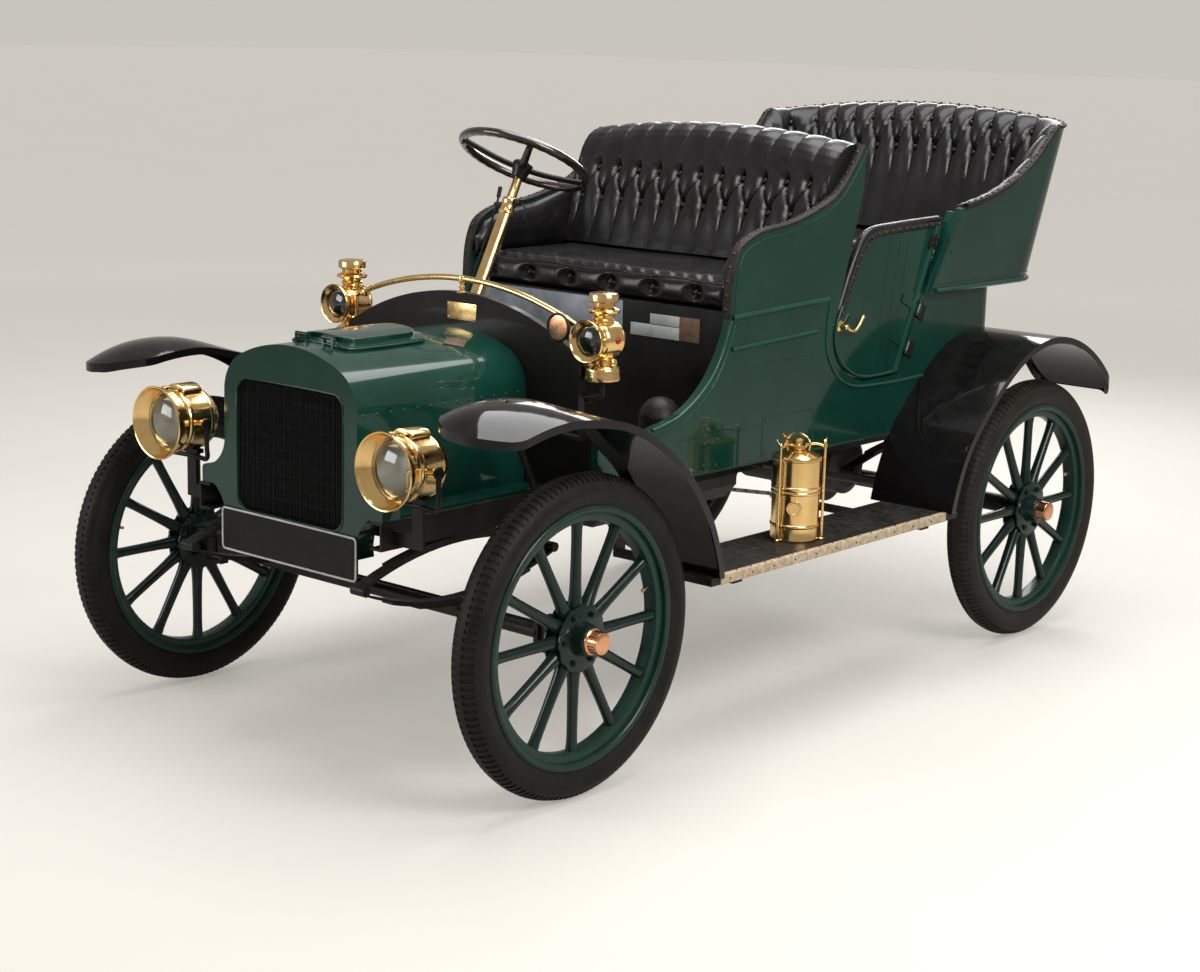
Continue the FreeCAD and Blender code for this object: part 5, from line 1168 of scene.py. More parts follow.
print("rim beside the door", round(rim_at(0.02, 0)), "and at the back", round(rim_at(0.5, 0)))

# %% [markdown]
# ## Buttoned lining of the tub
# Twenty eight channels, two rows of buttons near the top, straight pleats below them and short ones over the roll.
# The folds come from the same formula as on the front seat, measured down from the rim, because the rim rises in a
# long sweep from the doors to the back.

# %% Section of the lining and its folds
RING_CHANNELS = 28
RING_PITCH = 84.0
RING_ROWS = (-192.0, -98.0)
RING_FOOT = 1208.5
RING_SHARE, RING_BACK = 0.76, 0.24
LEAST_ROOM = 24
ring_sections = {}


def ring_section(share):
    """Lining and roll as one run of (inset, height), and the hidden back as another."""
    rim = rim_at(share, 20)
    low_face = [(94 - 24 * k / 10, RING_FOOT + (rim - 52 - RING_FOOT) * k / 10) for k in range(11)]
    roll = [(64, rim - 30), (54, rim - 12), (42, rim + 1), (28, rim + 8), (14, rim + 9), (4, rim + 6), (-2, rim + 1)]
    outer = rim_at(share, 0)
    inner = rim_at(share, 23)
    back = [(-3.5, outer - 6), (-3, outer - 12), (-0.7, outer - 12), (-0.7, outer + 0.8), (11, rim_at(share, 11) + 0.9),
            (22.8, inner + 0.9), (22.8, inner - 8), (22.8, RING_FOOT), (94, RING_FOOT)]
    return low_face + roll, [roll[-1]] + back


def ring_point(u, v):
    share = min(max(u, 0.0), 1.0)
    key = round(share, 6)
    if key not in ring_sections:
        ring_sections[key] = ring_section(share)
    front, back = ring_sections[key]
    if v > RING_SHARE:
        inset, z = along(back, (v - RING_SHARE) / RING_BACK)
        return tub_point(share, z, inset)
    t = v / RING_SHARE
    inset, z = along(front, t)
    i2, z2 = along(front, min(t + 0.012, 1))
    i1, z1 = along(front, max(t - 0.012, 0))
    slope = math.hypot(i2 - i1, z2 - z1) or 1
    length = length_of(front)
    up = t * length - length
    push = fold(share * RING_CHANNELS * RING_PITCH, up, RING_PITCH, RING_ROWS)
    ends = ease(min(share, 1 - share) * RING_CHANNELS * RING_PITCH, 0, 16)
    push *= (1 - ease(up, -30, -6)) * ease(t * length, 0, 20) * ends
    return tub_point(share, z - (i2 - i1) / slope * push, inset + (z2 - z1) / slope * push)


lining = painted(loop_body("rear_seat_back", RING_CHANNELS * 14, 84, ring_point), leather)
settle(lining, ["rear_backrest"])
print("rear lining:", len(lining.data.polygons), "faces")


# %% Its buttons, binding and nails
def ring_buttons():
    places = []
    for row, offset in zip(RING_ROWS, (0.0, 0.5)):
        for number in range(RING_CHANNELS + 1):
            share = (number + offset) / RING_CHANNELS
            if not 0.02 < share < 0.98:
                continue
            front, _ = ring_section(share)
            length = length_of(front)
            if length + row < LEAST_ROOM:
                continue
            inset, z = along(front, 1 + row / length)
            here = tub_point(share, z, inset)
            out = (tub_point(share, z, inset + 10) - here).normalized()
            places.append((here - out * BUTTON_SINK, (out + Vector((0, 0, 0.12))).normalized()))
    return places


def level_across(ahead):
    return Vector((ahead.y, -ahead.x, 0)).normalized()


settle(stood("rear_back_buttons", button_model, ring_buttons()))
rim_run = [tub_point(k / 150, rim_at(k / 150, 3), 3) + Vector((0, 0, 0.0058)) for k in range(151)]
settle(joined("rear_rim_binding", [binding_strip("rim_binding", rim_run, level_across, 10.5, 6.2),
                                   nail_row("rim_nails", rim_run, level_across, 5.6, 34)]))

# %% [markdown]
# ## Rear cushion
# It follows the horseshoe in plan, so it starts as a plate of that outline instead of a block, and then goes
# through the same stuffing and pressing as the front one.

# %% Rear cushion
CUSHION_PLAN = [(496, 1966), (497, 2270), (488, 2330), (462, 2372), (420, 2396), (370, 2404)]
plan = CUSHION_PLAN + [(-x, y) for x, y in reversed(CUSHION_PLAN)]
rear_cushion = plate("rear_seat_cushion", [at(x, y, 1112) for x, y in plan], Vector((0, 0, 0.080)), 12)
inflated(rear_cushion, 0.0095, 0.010)
pressed_cushion(rear_cushion, 1956, 2408, 1200, 504, 84, 1107.6)
painted(rear_cushion, leather)
rear_buttons = [(at((k + offset) * 84, 1956 + row, 1182), UP) for row, offset in CUSHION_ROWS for k in range(-6, 7)
                if abs((k + offset) * 84) < 470]
rear_cushion = joined("rear_seat_cushion", [rear_cushion, stood("rear_top_buttons", button_model, rear_buttons)])
settle(rear_cushion, ["rear_cushion"])
print("rear seat done")

# %% [markdown]
# ## Headlamps
# An acetylene headlamp is a spun brass barrel with a flared, rolled bezel, a thick bulging glass, a polished
# reflector with a small burner inside, and a chimney hood on top that lets the hot air out. Two lugs carry it in a
# forked iron. One lamp is made on the left and copied to the other side by mirroring.

# %% Barrel, bezel, glass, reflector, chimney
LAMP_X, LAMP_FACE, LAMP_Z = 421, -362, 819
LUG_Y = 84


def lamp_place(x, y, z):
    """A point counted from the middle of the lamp's face."""
    return at(LAMP_X + x, LAMP_FACE + y, LAMP_Z + z)


def headlamp():
    start = lamp_place(0, 0, 0)
    bezel = [(0, 90), (-3, 92), (-4, 94.5), (-1.5, 96), (4, 95), (16, 90), (30, 85), (38, 81), (46, 80), (50, 82.5),
             (56, 82.5), (60, 80), (66, 78.5), (118, 78), (121, 80), (126, 80), (129, 77.5), (140, 74), (154, 62),
             (162, 46), (165, 24), (166, 0), (162, 0), (160, 22), (150, 58), (136, 69), (112, 73), (60, 74), (44, 74),
             (36, 70), (34, 66.5), (30, 66), (22, 71), (10, 82), (3, 88.5)]
    shell = painted(turned("headlamp_shell", bezel, start, BACKWARD, 72, 34), brass)
    bowl = [(44, 68), (60, 66), (88, 57), (108, 42), (118, 22), (121, 0), (123, 0), (120, 23), (110, 43.5), (90, 59),
            (62, 68), (45, 69.5)]
    reflector = painted(turned("headlamp_reflector", bowl, start, BACKWARD, 48, 60), polished_steel)
    lens = [(33, 69), (27, 64), (17, 50), (11, 32), (8, 15), (7.4, 0), (10.5, 0), (11.2, 15), (14, 32), (20, 50),
            (30, 64), (36, 69)]
    window = painted(turned("headlamp_lens", lens, start, BACKWARD, 48, 70), lamp_glass)
    jet = [(0, 0), (0, 7), (14, 7), (16, 4), (40, 3.4), (52, 3.4), (54, 6), (58, 6), (60, 3), (60, 0)]
    burner = painted(turned("headlamp_burner", jet, lamp_place(0, 78, -66), UP, 16, 40), dull_brass)
    metal = [block("hood_base", lamp_place(-26, 66, 70), lamp_place(26, 118, 84), 4, 3)]
    roof = [lamp_place(34 * math.sin(t), 62, 78 + 17 * max(math.cos(t), 0) ** 0.8)
            for t in (math.pi * (k / 12 - 0.5) for k in range(13))]
    roof += [lamp_place(34, 62, 74), lamp_place(-34, 62, 74)]
    metal.append(plate("hood_roof", roof, BACKWARD * 0.060, 1.5))
    # The three vents of the chimney hood are thin black blocks on its face: painted shade for the dark openings.
    slots = [painted(block("hood_slot", lamp_place(x - 5.5, 60.6, 78), lamp_place(x + 5.5, 62.4, 83), 0.5),
                     chassis_black) for x in (-16, 0, 16)]
    for side in (-1, 1):
        metal.append(bar("lamp_lug", lamp_place(side * 74, LUG_Y, 0), lamp_place(side * 92, LUG_Y, 0), 9, 24))
        metal.append(turned("lug_nut", [(0, 0), (0, 13), (6, 13), (8, 11), (9, 6), (9, 0)],
                            lamp_place(side * 90, LUG_Y, 0), OUTWARD * side, 6, 20))
    metal.append(block("bezel_catch", lamp_place(-8, 22, 84), lamp_place(8, 40, 93), 2, 3))
    metal.append(bar("bezel_hinge", lamp_place(86, 34, -16), lamp_place(86, 34, 16), 5, 16))
    for piece in metal:
        painted(piece, brass)
    return [shell, reflector, burner] + metal + slots, window


metal_left, lens_left = headlamp()
headlamp_left = joined("headlamp_left", metal_left)
lens_left.name = "headlamp_lens_left"
settle_pair(headlamp_left, ["headlamps"])
settle_pair(lens_left, ["lamp_lenses"])
print("headlamp:", len(headlamp_left.data.polygons), "faces")

# %% [markdown]
# ## Forked irons of the headlamps
# Each lamp hangs between the arms of a fork: a round bar bent to a U, its ends flattened to eyes at the lugs, standing
# on the iron post that the drawing office made.

# %% Forks
def lamp_fork():
    half = [(98, 0, -4), (98, 0, -60), (84, 12, -92), (40, 26, -100)]
    bend = half + [(0, 33, -100)] + [(-x, y, z) for x, y, z in reversed(half)]
    pieces = [tube("fork", [lamp_place(x, LUG_Y + y, z) for x, y, z in bend], 6.5, fine=6)]
    for side in (-1, 1):
        pieces.append(bar("fork_eye", lamp_place(side * 94, LUG_Y, 0), lamp_place(side * 102, LUG_Y, 0), 15, 24))
    return painted(joined("headlamp_fork_left", pieces), chassis_black)


settle_pair(lamp_fork())
print("forks stand")

# %% [markdown]
# ## Side lamps
# Two small oil lamps stand on irons beside the dash. Each has a round body lying towards the front with a flared
# bezel, a tank with a ribbed foot below, and a chimney in two steps above. All of it is turned brass, save the bowl
# behind the glass, which is black as painted shade for the dark inside of the lamp.

# %% Side lamp
SIDE_LAMP = (466, 299, 1072)
TANK_Y = 67


def by_lamp(x, y, z):
    """A point counted from the middle of the side lamp's face."""
    return at(SIDE_LAMP[0] + x, SIDE_LAMP[1] + y, SIDE_LAMP[2] + z)


def side_lamp():
    centre = by_lamp(0, 0, 0)
    bezel = [(0, 51), (-2.5, 52.5), (-3, 54), (0, 55.2), (5, 54.5), (12, 50), (18, 47), (24, 45), (28, 46.5),
             (32, 46.5), (35, 44.5), (39, 47), (43, 48), (90, 48), (94, 49.5), (98, 48), (108, 41), (116, 29),
             (120, 14), (121, 0), (118, 0), (116, 12), (106, 36), (92, 43.5), (44, 43.5), (30, 41.5), (20, 41),
             (12, 40), (9, 40.5), (5, 45), (2, 49.5)]
    parts = [turned("side_lamp_barrel", bezel, centre, BACKWARD, 56, 34)]
    chimney = [(34, 0), (34, 27), (50, 27), (53, 29.5), (58, 29.5), (61, 26), (64, 25), (67, 36), (70, 42), (74, 43.5),
               (78, 42), (81, 34), (84, 27), (93, 26.5), (95, 35), (98, 38.5), (114, 38.5), (118, 36), (119.5, 28),
               (120, 0)]
    foot = [(-34, 0), (-34, 31), (-46, 29), (-50, 25), (-55, 31), (-62, 31), (-66, 36), (-71, 43), (-76, 46),
            (-80, 46.5), (-92, 47), (-100, 48.5), (-104, 48), (-107, 42), (-108, 24), (-108, 0)]
    for name, profile in (("side_lamp_chimney", chimney), ("side_lamp_tank", foot)):
        parts.append(turned(name, profile, by_lamp(0, TANK_Y, 0), UP, 52, 34))
    for number in range(12):
        turn = math.tau * (number + 0.5) / 12
        base = by_lamp(25.5 * math.cos(turn), TANK_Y + 25.5 * math.sin(turn), 88)
        parts.append(bar("chimney_rib", base - UP * 0.004, base + UP * 0.008, 2.2, 8, 0.5))
    filler = [(0, 0), (0, 8), (6, 8), (7, 9.5), (12, 9.5), (13, 8), (13, 0)]
    parts.append(turned("filler", filler, by_lamp(30, TANK_Y, -58), Vector((1, 0, 0.25)), 20, 34))
    parts.append(block("side_hinge", by_lamp(45, 20, -11), by_lamp(51, 30, 11), 2))
    lamp = painted(joined("side_lamp_left", parts), brass)
    dome = [(0, 0), (0, 9), (2, 9.5), (5, 7), (6, 3), (6.2, 0)]
    jewel = painted(turned("side_jewel", dome, by_lamp(47, 70, 0), OUTWARD, 24, 50), red_glass)
    lens = [(15, 41), (11, 37), (5, 26), (2, 13), (1.4, 0), (4.4, 0), (5, 13), (8, 26), (14, 37), (18, 41)]
    window = painted(turned("side_lamp_lens_left", lens, centre, BACKWARD, 40, 70), lamp_glass)
    # The bowl behind the glass is painted black: painted shade that stands in for the dark inside of the lamp.
    inside = [(22, 40.5), (44, 33), (56, 17), (60, 0), (62, 0), (58, 18), (45, 35), (23, 41.3)]
    bowl = painted(turned("side_reflector", inside, centre, BACKWARD, 40, 60), core_black)
    return joined("side_lamp_left", [lamp, bowl, jewel]), window


side_left, side_lens_left = side_lamp()
settle_pair(side_left, ["side_lamps"])
settle_pair(side_lens_left, ["lamp_lenses"])
print("side lamp:", len(side_left.data.polygons), "faces")

# %% [markdown]
# ## Gas generator
# The acetylene for the headlamps is made in a brass can on the left running board. It is a drawn can with two beads
# and a band, a domed lid held down by three rods with wing nuts, a water valve on top, and a blank medallion.

# %% Generator
GENERATOR_SCALE = (1.12, 1.12, 1.05)


def generator():
    foot = at(650, 985, 482)
    can = [(0.5, 0), (0.5, 58), (3, 60), (7, 60), (10, 59), (36, 59), (38, 61), (41, 61.6), (44, 61), (46, 59),
           (124, 59), (126, 61), (129, 61.6), (132, 61), (134, 59.4), (138, 61), (141, 61.6), (144, 61), (146, 59),
           (212, 59), (215, 61.5), (220, 62), (224, 60), (227, 54), (231, 46), (236, 34), (240, 24), (242, 0)]
    lid = [(238, 0), (238, 19), (243, 19), (245, 24), (249, 25), (252, 23), (254, 12), (260, 11), (262, 14), (266, 14),
           (268, 10), (270, 6), (271, 0)]
    parts = [turned("generator_can", can, foot, UP, 64, 34), turned("generator_valve", lid, foot, UP, 40, 34)]
    for number in range(3):
        turn = math.tau * number / 3 + 0.5
        around = Vector((math.cos(turn), math.sin(turn), 0))
        side = Vector((-around.y, around.x, 0))
        rod_foot = foot + around * 0.0675
        clamp = [foot + around * 0.020 + UP * 0.252, foot + around * 0.042 + UP * 0.256, rod_foot + UP * 0.251]
        parts += [bar("clamp_rod", rod_foot + UP * 0.006, rod_foot + UP * 0.262, 3.2, 12, 0.8),
                  turned("clamp_foot", [(0, 0), (0, 8), (5, 8), (7, 6), (7, 0)], rod_foot + UP * 0.001, UP, 16, 34),
                  tube("clamp_arm", clamp, 3.4, fine=5),
                  turned("nut_boss", [(0, 0), (0, 6), (7, 5), (9, 3), (9, 0)], rod_foot + UP * 0.250, UP, 12, 34)]
        for way in (-1, 1):
            parts.append(tube("wing", [rod_foot + UP * 0.254, rod_foot + side * way * 0.009 + UP * 0.262,
                                       rod_foot + side * way * 0.014 + UP * 0.269], 2.3, fine=4))
    bail = ((-0.034, 0.240), (-0.035, 0.262), (-0.02, 0.277), (0.02, 0.277), (0.035, 0.262), (0.034, 0.240))
    parts.append(tube("bail_handle", [foot + Vector((x, 0, z)) for x, z in bail], 2.4, fine=8))
    facing = Vector((0.55, -0.835, 0)).normalized()
    medal = [(0, 0), (0, 19), (1.5, 19.5), (3, 18.5), (3.2, 15), (2, 14), (2, 0)]
    parts.append(turned("medallion", medal, foot + facing * 0.0585 + UP * 0.092, facing, 32, 34))
    tap = [(0, 0), (0, 7), (9, 7), (10, 5), (26, 5), (26, 0)]
    parts.append(turned("gas_tap", tap, foot + Vector((-0.058, 0.012, 0.098)), Vector((-1, 0, 0)), 16, 34))
    whole = painted(joined("gas_generator", parts), brass)
    for vertex in whole.data.vertices:
        out = vertex.co - foot
        vertex.co = foot + Vector([a * b for a, b in zip(out, GENERATOR_SCALE)])
    return whole


generator_piece = generator()
settle(generator_piece, ["gas_generator"])
print("generator:", len(generator_piece.data.polygons), "faces")

# %% [markdown]
# ## Steering wheel
# The rim is dark varnished wood, round above and waved below for the fingers, on a black spider of four arms that
# taper to the rim. It is modelled about its leaning axis, and rides on the body that turns with the steering.

# %% Wheel rim, spider and hub
RAKE = math.radians(27)
WHEEL_UP = Vector((0, math.sin(RAKE), math.cos(RAKE)))
WHEEL_HUB = at(-260, 841, 1450)
wheel_fore = WHEEL_UP.cross(OUTWARD)
FINGER_WAVES, WAVE_DEPTH = 36, 1.1
RIM_HEIGHT = 18


def on_wheel(angle, out, up):
    """A point of the steering wheel: angle round it, distance out and height along its axis, in mm."""
    return WHEEL_HUB + (OUTWARD * math.cos(angle) + wheel_fore * math.sin(angle)) * out / 1000 + WHEEL_UP * up / 1000


def steering_rim():
    rim_section = [(RIM_HEIGHT + 12.6 * math.sin(t), 187 + 13.2 * math.cos(t))
                   for t in (math.tau * k / 16 for k in range(16))]
    rim = turned("steering_rim", rim_section, WHEEL_HUB, WHEEL_UP, 144, 60)
    for vertex in rim.data.vertices:
        from_hub = vertex.co - WHEEL_HUB
        height = from_hub.dot(WHEEL_UP) * 1000 - RIM_HEIGHT
        angle = math.atan2(from_hub.dot(wheel_fore), from_hub.dot(OUTWARD))
        if height < -2:
            wave = 0.5 + 0.5 * math.cos(angle * FINGER_WAVES)
            vertex.co += WHEEL_UP * (WAVE_DEPTH * wave * min(1, (-height - 2) / 8)) / 1000
    return painted(rim, rim_wood)


def steering_spider():
    hub = [(-42, 0), (-42, 19), (-38, 22), (-24, 24), (-16, 27), (-10, 30), (4, 30), (9, 26), (13, 17), (14.5, 9),
           (17, 9), (20, 8), (22, 4), (22.5, 0)]
    pieces = [turned("spider_hub", hub, WHEEL_HUB, WHEEL_UP, 40, 34)]
    for number in range(4):
        angle = math.pi / 4 + number * math.pi / 2
        run = [on_wheel(angle, 18, -8), on_wheel(angle, 60, -6), on_wheel(angle, 120, 2), on_wheel(angle, 176, 12)]
        arm = tube("spider_arm", run, 8.4, fine=6)
        across = WHEEL_UP.cross(run[-1] - run[0]).normalized()
        for vertex in arm.data.vertices:
            aside = (vertex.co - run[0]).dot(across)
            reach = (vertex.co - run[0]).length * 1000 / 160
            vertex.co += across * aside * (0.55 - 0.35 * reach)
        pieces.append(arm)
        pieces.append(bar("arm_foot", on_wheel(angle, 177, 3.5), on_wheel(angle, 183, 9), 9, 14))
    return painted(joined("steering_spider", pieces), dash_black)


steering_piece = joined("steering_wheel_rim", [steering_rim(), steering_spider()])
settle(steering_piece, ["steering_wheel"], "steering_wheel")
print("steering wheel:", len(steering_piece.data.polygons), "faces")

# %% [markdown]
# ## Steering column
# The brass column passes through a longer, thicker sleeve below the wheel and ends in a black gear box under the
# floor. Two thin levers for spark and gas leave the collar: one runs down beside the column, the other is a short curl.

# %% Sleeve and levers
def down_column(distance, aside=(0, 0, 0)):
    """A point on the column below the wheel, moved aside by metres."""
    return WHEEL_HUB - WHEEL_UP * distance / 1000 + Vector(aside)


low_end = (WHEEL_HUB.z - 0.640) / WHEEL_UP.z * 1000
upper = [(36, 0), (36, 13.4), (100, 13.8), (102, 15), (106, 21), (110, 23), (116, 23), (120, 20.5), (140, 20.3),
         (144, 22.6), (150, 22.6), (154, 19.8), (low_end - 40, 19.6), (low_end - 20, 19.6), (low_end, 19.6),
         (low_end, 0)]
flange = [(0, 18), (0, 34), (4, 34), (7, 26), (12, 23), (12, 18)]
column_trim = painted(joined("column_trim", [
    turned("column_tube", upper, down_column(0), -WHEEL_UP, 40, 34),
    turned("floor_flange", flange, down_column(low_end - 72), WHEEL_UP, 36, 34)]), brass)
foot_y = down_column(low_end).y
gear_box = painted(block("steering_box", Vector((-0.2997, foot_y - 0.045, 0.600)),
                         Vector((-0.215, foot_y + 0.045, 0.660)), 8, 3), chassis_black)
spark_run = [down_column(92, (-0.044, -0.008, 0.004)), down_column(120, (-0.040, -0.008, 0)),
             down_column(330, (-0.034, -0.006, 0)), down_column(520, (-0.032, -0.004, 0))]
curl_run = [down_column(112, (0.040, 0, 0)), down_column(124, (0.060, 0.004, -0.006)),
            down_column(150, (0.064, 0.008, -0.012))]
lever_trim = painted(joined("lever_trim", [
    tube("spark_rod", spark_run, 3.2),
    bar("spark_grip", down_column(70, (-0.047, -0.01, 0)), down_column(102, (-0.043, -0.008, 0)), 6, 12),
    block("lever_bracket", down_column(124, (-0.048, -0.012, -0.006)), down_column(124, (-0.020, 0.012, 0.006)), 2),
    block("curl_bracket", down_column(112, (0.020, -0.012, -0.009)), down_column(112, (0.046, 0.012, 0.009)), 3),
    tube("gas_curl", curl_run, 2.6)]), chassis_black)
column_finished = joined("steering_column_finished", [column_trim, lever_trim, gear_box])
settle(column_finished, ["steering_column"])
print("steering column:", len(column_finished.data.polygons), "faces")

# %% [markdown]
# ## Mouldings of the body
# A coach builder hides each joint of the panels under a half-round wooden moulding, bent and pinned. Here a bevelled
# curve follows the joint along the side, and is then pressed flat against the panel, so that half of it stays out.
# Fine joints between the boards are made in the same way, only very thin. The right side is the mirrored left one.

# %% Half-round strips
SIDE_X = 500
SIDE_EDGE = [(855, 1082), (862, 1180), (876, 1238), (905, 1277), (984, 1308), (1122, 1325), (1240, 1355), (1335, 1393),
             (1413, 1466), (1462, 1530)]
COWL_EDGE = [(535, 822), (600, 834), (659, 852), (743, 903), (808, 978), (855, 1082)]
DOOR_EDGE = [(1691, 854), (1525, 852), (1430, 882), (1365, 945), (1354, 1015), (1381, 1081), (1420, 1165), (1473, 1251),
             (1532, 1289)]


def beside(run, distance):
    """A run of points on the side, moved sideways by a distance in its own plane."""
    points = smooth_run([Vector((0, y, z)) for y, z in run], 6)
    moved = []
    for number, point in enumerate(points):
        along_run = points[min(number + 1, len(points) - 1)] - points[max(number - 1, 0)]
        normal = Vector((0, along_run.z, -along_run.y)).normalized()
        moved.append((point.y + normal.y * distance, point.z + normal.z * distance))
    return moved


def moulding(name, run, width, rise, material=moulding_green):
    """Half-round strip on the left side along a run of (y, z); a short run of a few points is made smoother."""
    points = [at(SIDE_X, y, z) for y, z in run]
    if 2 < len(points) < 12:
        points = smooth_run(points, 3)
    strip = tube(name, points, width / 2, fine=2, sides=2)
    panel = SIDE_X / 1000
    for vertex in strip.data.vertices:
        vertex.co.x = panel + (vertex.co.x - panel) * rise / (width / 2)
    return painted(strip, material)


def side_stud(name, y, z, radius, proud, x=SIDE_X):
    """A low round head on the side."""
    return turned(name, [(-1, 0), (-1, radius), (proud * 0.4, radius), (proud * 0.8, radius * 0.7), (proud, 0)],
                  at(x, y, z), OUTWARD, 14, 50)


# %% Body side
def body_trim():
    pieces = [
        moulding("upper_moulding", [(866, 1088), (1316, 1104)], 17, 8),
        moulding("second_moulding", [(868, 1001), (1264, 1016)], 14, 7),
        moulding("upper_joint", [(800, 940), (1300, 955)], 2.6, 0.9, coach_green),
        moulding("lower_joint", [(640, 775), (1019, 771)], 2.6, 0.9, coach_green),
        moulding("seat_bead", beside(SIDE_EDGE, 16.5)[1:], 4, 2.4),
        moulding("cowl_bead", beside(COWL_EDGE, 5), 10, 6),
        moulding("cowl_inner_bead", beside(COWL_EDGE, 27), 6, 3),
        moulding("door_frame", [(1326, 1092), (1316, 1014), (1327, 941), (1382, 872), (1465, 836), (1600, 828),
                                (1696, 827), (1820, 829), (1935, 833)], 11, 6),
        moulding("sill_bead", [(560, 672), (1000, 671), (1700, 671), (1880, 672)], 6, 2.5, coach_green),
    ]
    corners = [(1022, 682), (1022, 795), (1265, 794), (1270, 672)]
    pieces += [moulding("hatch_line", [a, b], 4, 1.4) for a, b in zip(corners, corners[1:])]
    studs = [side_stud("body_bolt", y, z, 7, 4) for y, z in ((762, 753), (815, 757), (761, 692), (814, 687))]
    studs += [side_stud("hatch_screw", y, z, 3.2, 1.6) for y, z in ((1034, 690), (1256, 684), (1252, 782), (1034, 785))]
    studs += [side_stud("moulding_screw", y, 1052 + (y - 1240) * 0.03, 2.6, 1.2) for y in (880, 1060, 1240)]
    return joined("body_mouldings_left", pieces + [painted(stud, coach_green) for stud in studs])


def tub_trim():
    """Round moulding and fillet along the foot of the tub, the post beside the door, and the screw on its side."""
    share_run = [k / 80 * 0.5 for k in range(81)]
    run = [tub_point(share, 1092, -2) for share in share_run]
    foot = painted(tube("tub_foot_bead", run, 9, fine=1, sides=3), moulding_green)
    run = [tub_point(share, 1112, 0) for share in share_run]
    line = painted(tube("tub_fillet", run, 2.2, fine=1, sides=1), coach_green)
    post = [tub_point(0, z, inset) + FORWARD * 0.0175 for z, inset in
            ((1086, 0), (1200, 0), (1326, 0), (1326, 54), (1200, 43), (1086, 32))]
    post = painted(plate("tub_post", post, BACKWARD * 0.006, 1.2), coach_green)
    screw = painted(side_stud("tub_screw", 1902, 1207, 6, 3.4, 541), coach_green)
    return joined("tub_moulding_left", [foot, line, post, screw])


mouldings_left = body_trim()
tub_left = tub_trim()
for piece in (mouldings_left, tub_left):
    settle_pair(piece)
print("body mouldings:", len(mouldings_left.data.polygons), "faces")

# %% [markdown]
# ## Door trim
# Each door carries its own bead along the curved edge, a raised batten beside the hinges, thin joints between its
# three boards, an iron plate at the top, a brass lever handle, and a leather roll with nails over its front and top
# edges. All of that rides on the door, so it swings with it.

# %% Door pieces
def on_door(z, before, proud):
    """A point at a height, some way before the door's slanted rear edge and proud of the side."""
    return at(SIDE_X + proud, door_rear(z) - before, z)


def door_trim():
    pieces = [moulding("door_bead", beside(DOOR_EDGE[:6], 6), 9, 5)]
    batten = [on_door(z, before, -1) for z, before in ((862, 5), (1284, 5), (1284, 29), (862, 29))]
    pieces.append(painted(plate("door_batten", batten, OUTWARD * 0.0065, 2.2), moulding_green))
    for low_y, high_y in ((1560, 1624), (1648, 1724), (1606, 1680)):
        pieces.append(moulding("door_joint", [(low_y, 866), (high_y, 1262)], 2.4, 0.8, coach_green))
    iron = [on_door(z, before, 0) for z, before in ((1222, 4), (1262, 4), (1262, 40), (1222, 40))]
    irons = [plate("top_iron", iron, OUTWARD * 0.0095, 1.5)]
    for z in (1232, 1252):
        irons.append(side_stud("iron_bolt", door_rear(z) - 26, z, 5, 3.5, SIDE_X + 9))
        irons.append(bar("iron_knuckle", on_door(z - 8, 9, 8.5), on_door(z + 8, 9, 8.5), 3.6, 14))
    return pieces + [painted(piece, chassis_black) for piece in irons]


def door_handle():
    profile = [(0, 0), (0, 17), (2, 17), (4, 14), (6, 9), (20, 7.5), (22, 9), (26, 9), (28, 7), (28, 0)]
    rose = turned("handle_rose", profile, at(SIDE_X - 0.5, 1381, 1020), OUTWARD, 28, 34)
    bend = ((22, 1381, 1020), (25, 1396, 1010), (26, 1416, 1005), (26, 1434, 1014), (26, 1448, 1029), (25, 1459, 1041))
    lever = tube("handle_lever", [at(SIDE_X + x, y, z) for x, y, z in bend], 5.2, fine=6)
    tip = turned("handle_tip", [(-6, 0), (-5, 4.5), (0, 6.6), (5, 4.5), (6, 0)], at(SIDE_X + 25, 1460, 1042),
                 BACKWARD + UP, 16, 50)
    return painted(joined("handle", [rose, lever, tip]), brass)


def door_leather():
    """Leather roll over the front and top edge of the door, with a row of nails."""
    edge = [(1362, 1060), (1381, 1081), (1420, 1165), (1473, 1251), (1532, 1289), (1640, 1298), (1780, 1303),
            (1890, 1306)]
    middle = 487.5
    roll = tube("door_roll_left", [at(middle, y, z) for y, z in beside(edge, 5)], 12.5, fine=1, sides=4)
    for vertex in roll.data.vertices:
        vertex.co.x = middle / 1000 + (vertex.co.x - middle / 1000) * 1.14
    strap = moulding("door_strap", beside(edge, 17), 18, 4.5, binding)
    points = [at(504.2, y, z) for y, z in beside(edge, 17)]
    nails = [(point, OUTWARD) for point, _ in spaced(points, 36)]
    return painted(roll, leather), joined("door_straps", [strap, stood("door_nails", nail_model, nails)])


roll_left, nails_left = door_leather()
door_left_trim = joined("door_trim_left", door_trim() + [door_handle(), nails_left])
settle_pair(door_left_trim, body="door")
roll_right = settle_pair(roll_left, body="door")
print("door trim:", len(door_left_trim.data.polygons), "faces")

# %% [markdown]
# ## Dash
# The dash is a black board with a crowned top. On its front sits a blank brass plate with four screws. Its rail is a
# bowed brass tube held by a turned bracket in the middle, and a round blank badge hangs near its left end.

# %% Plate, badge and rail bracket
DASH_FACE = 318
RAIL_Y = DASH_FACE + 11
RAIL_HALF, RAIL_BOW, RAIL_TOP = 408, 83, 1185


def upright_plate(name, y, x0, x1, z0, z1, thick, edge, material):
    """A thin plate on a face that looks forwards."""
    outline = [at(x, y, z) for x, z in ((x0, z0), (x1, z0), (x1, z1), (x0, z1))]
    return painted(plate(name, outline, FORWARD * thick, edge), material)


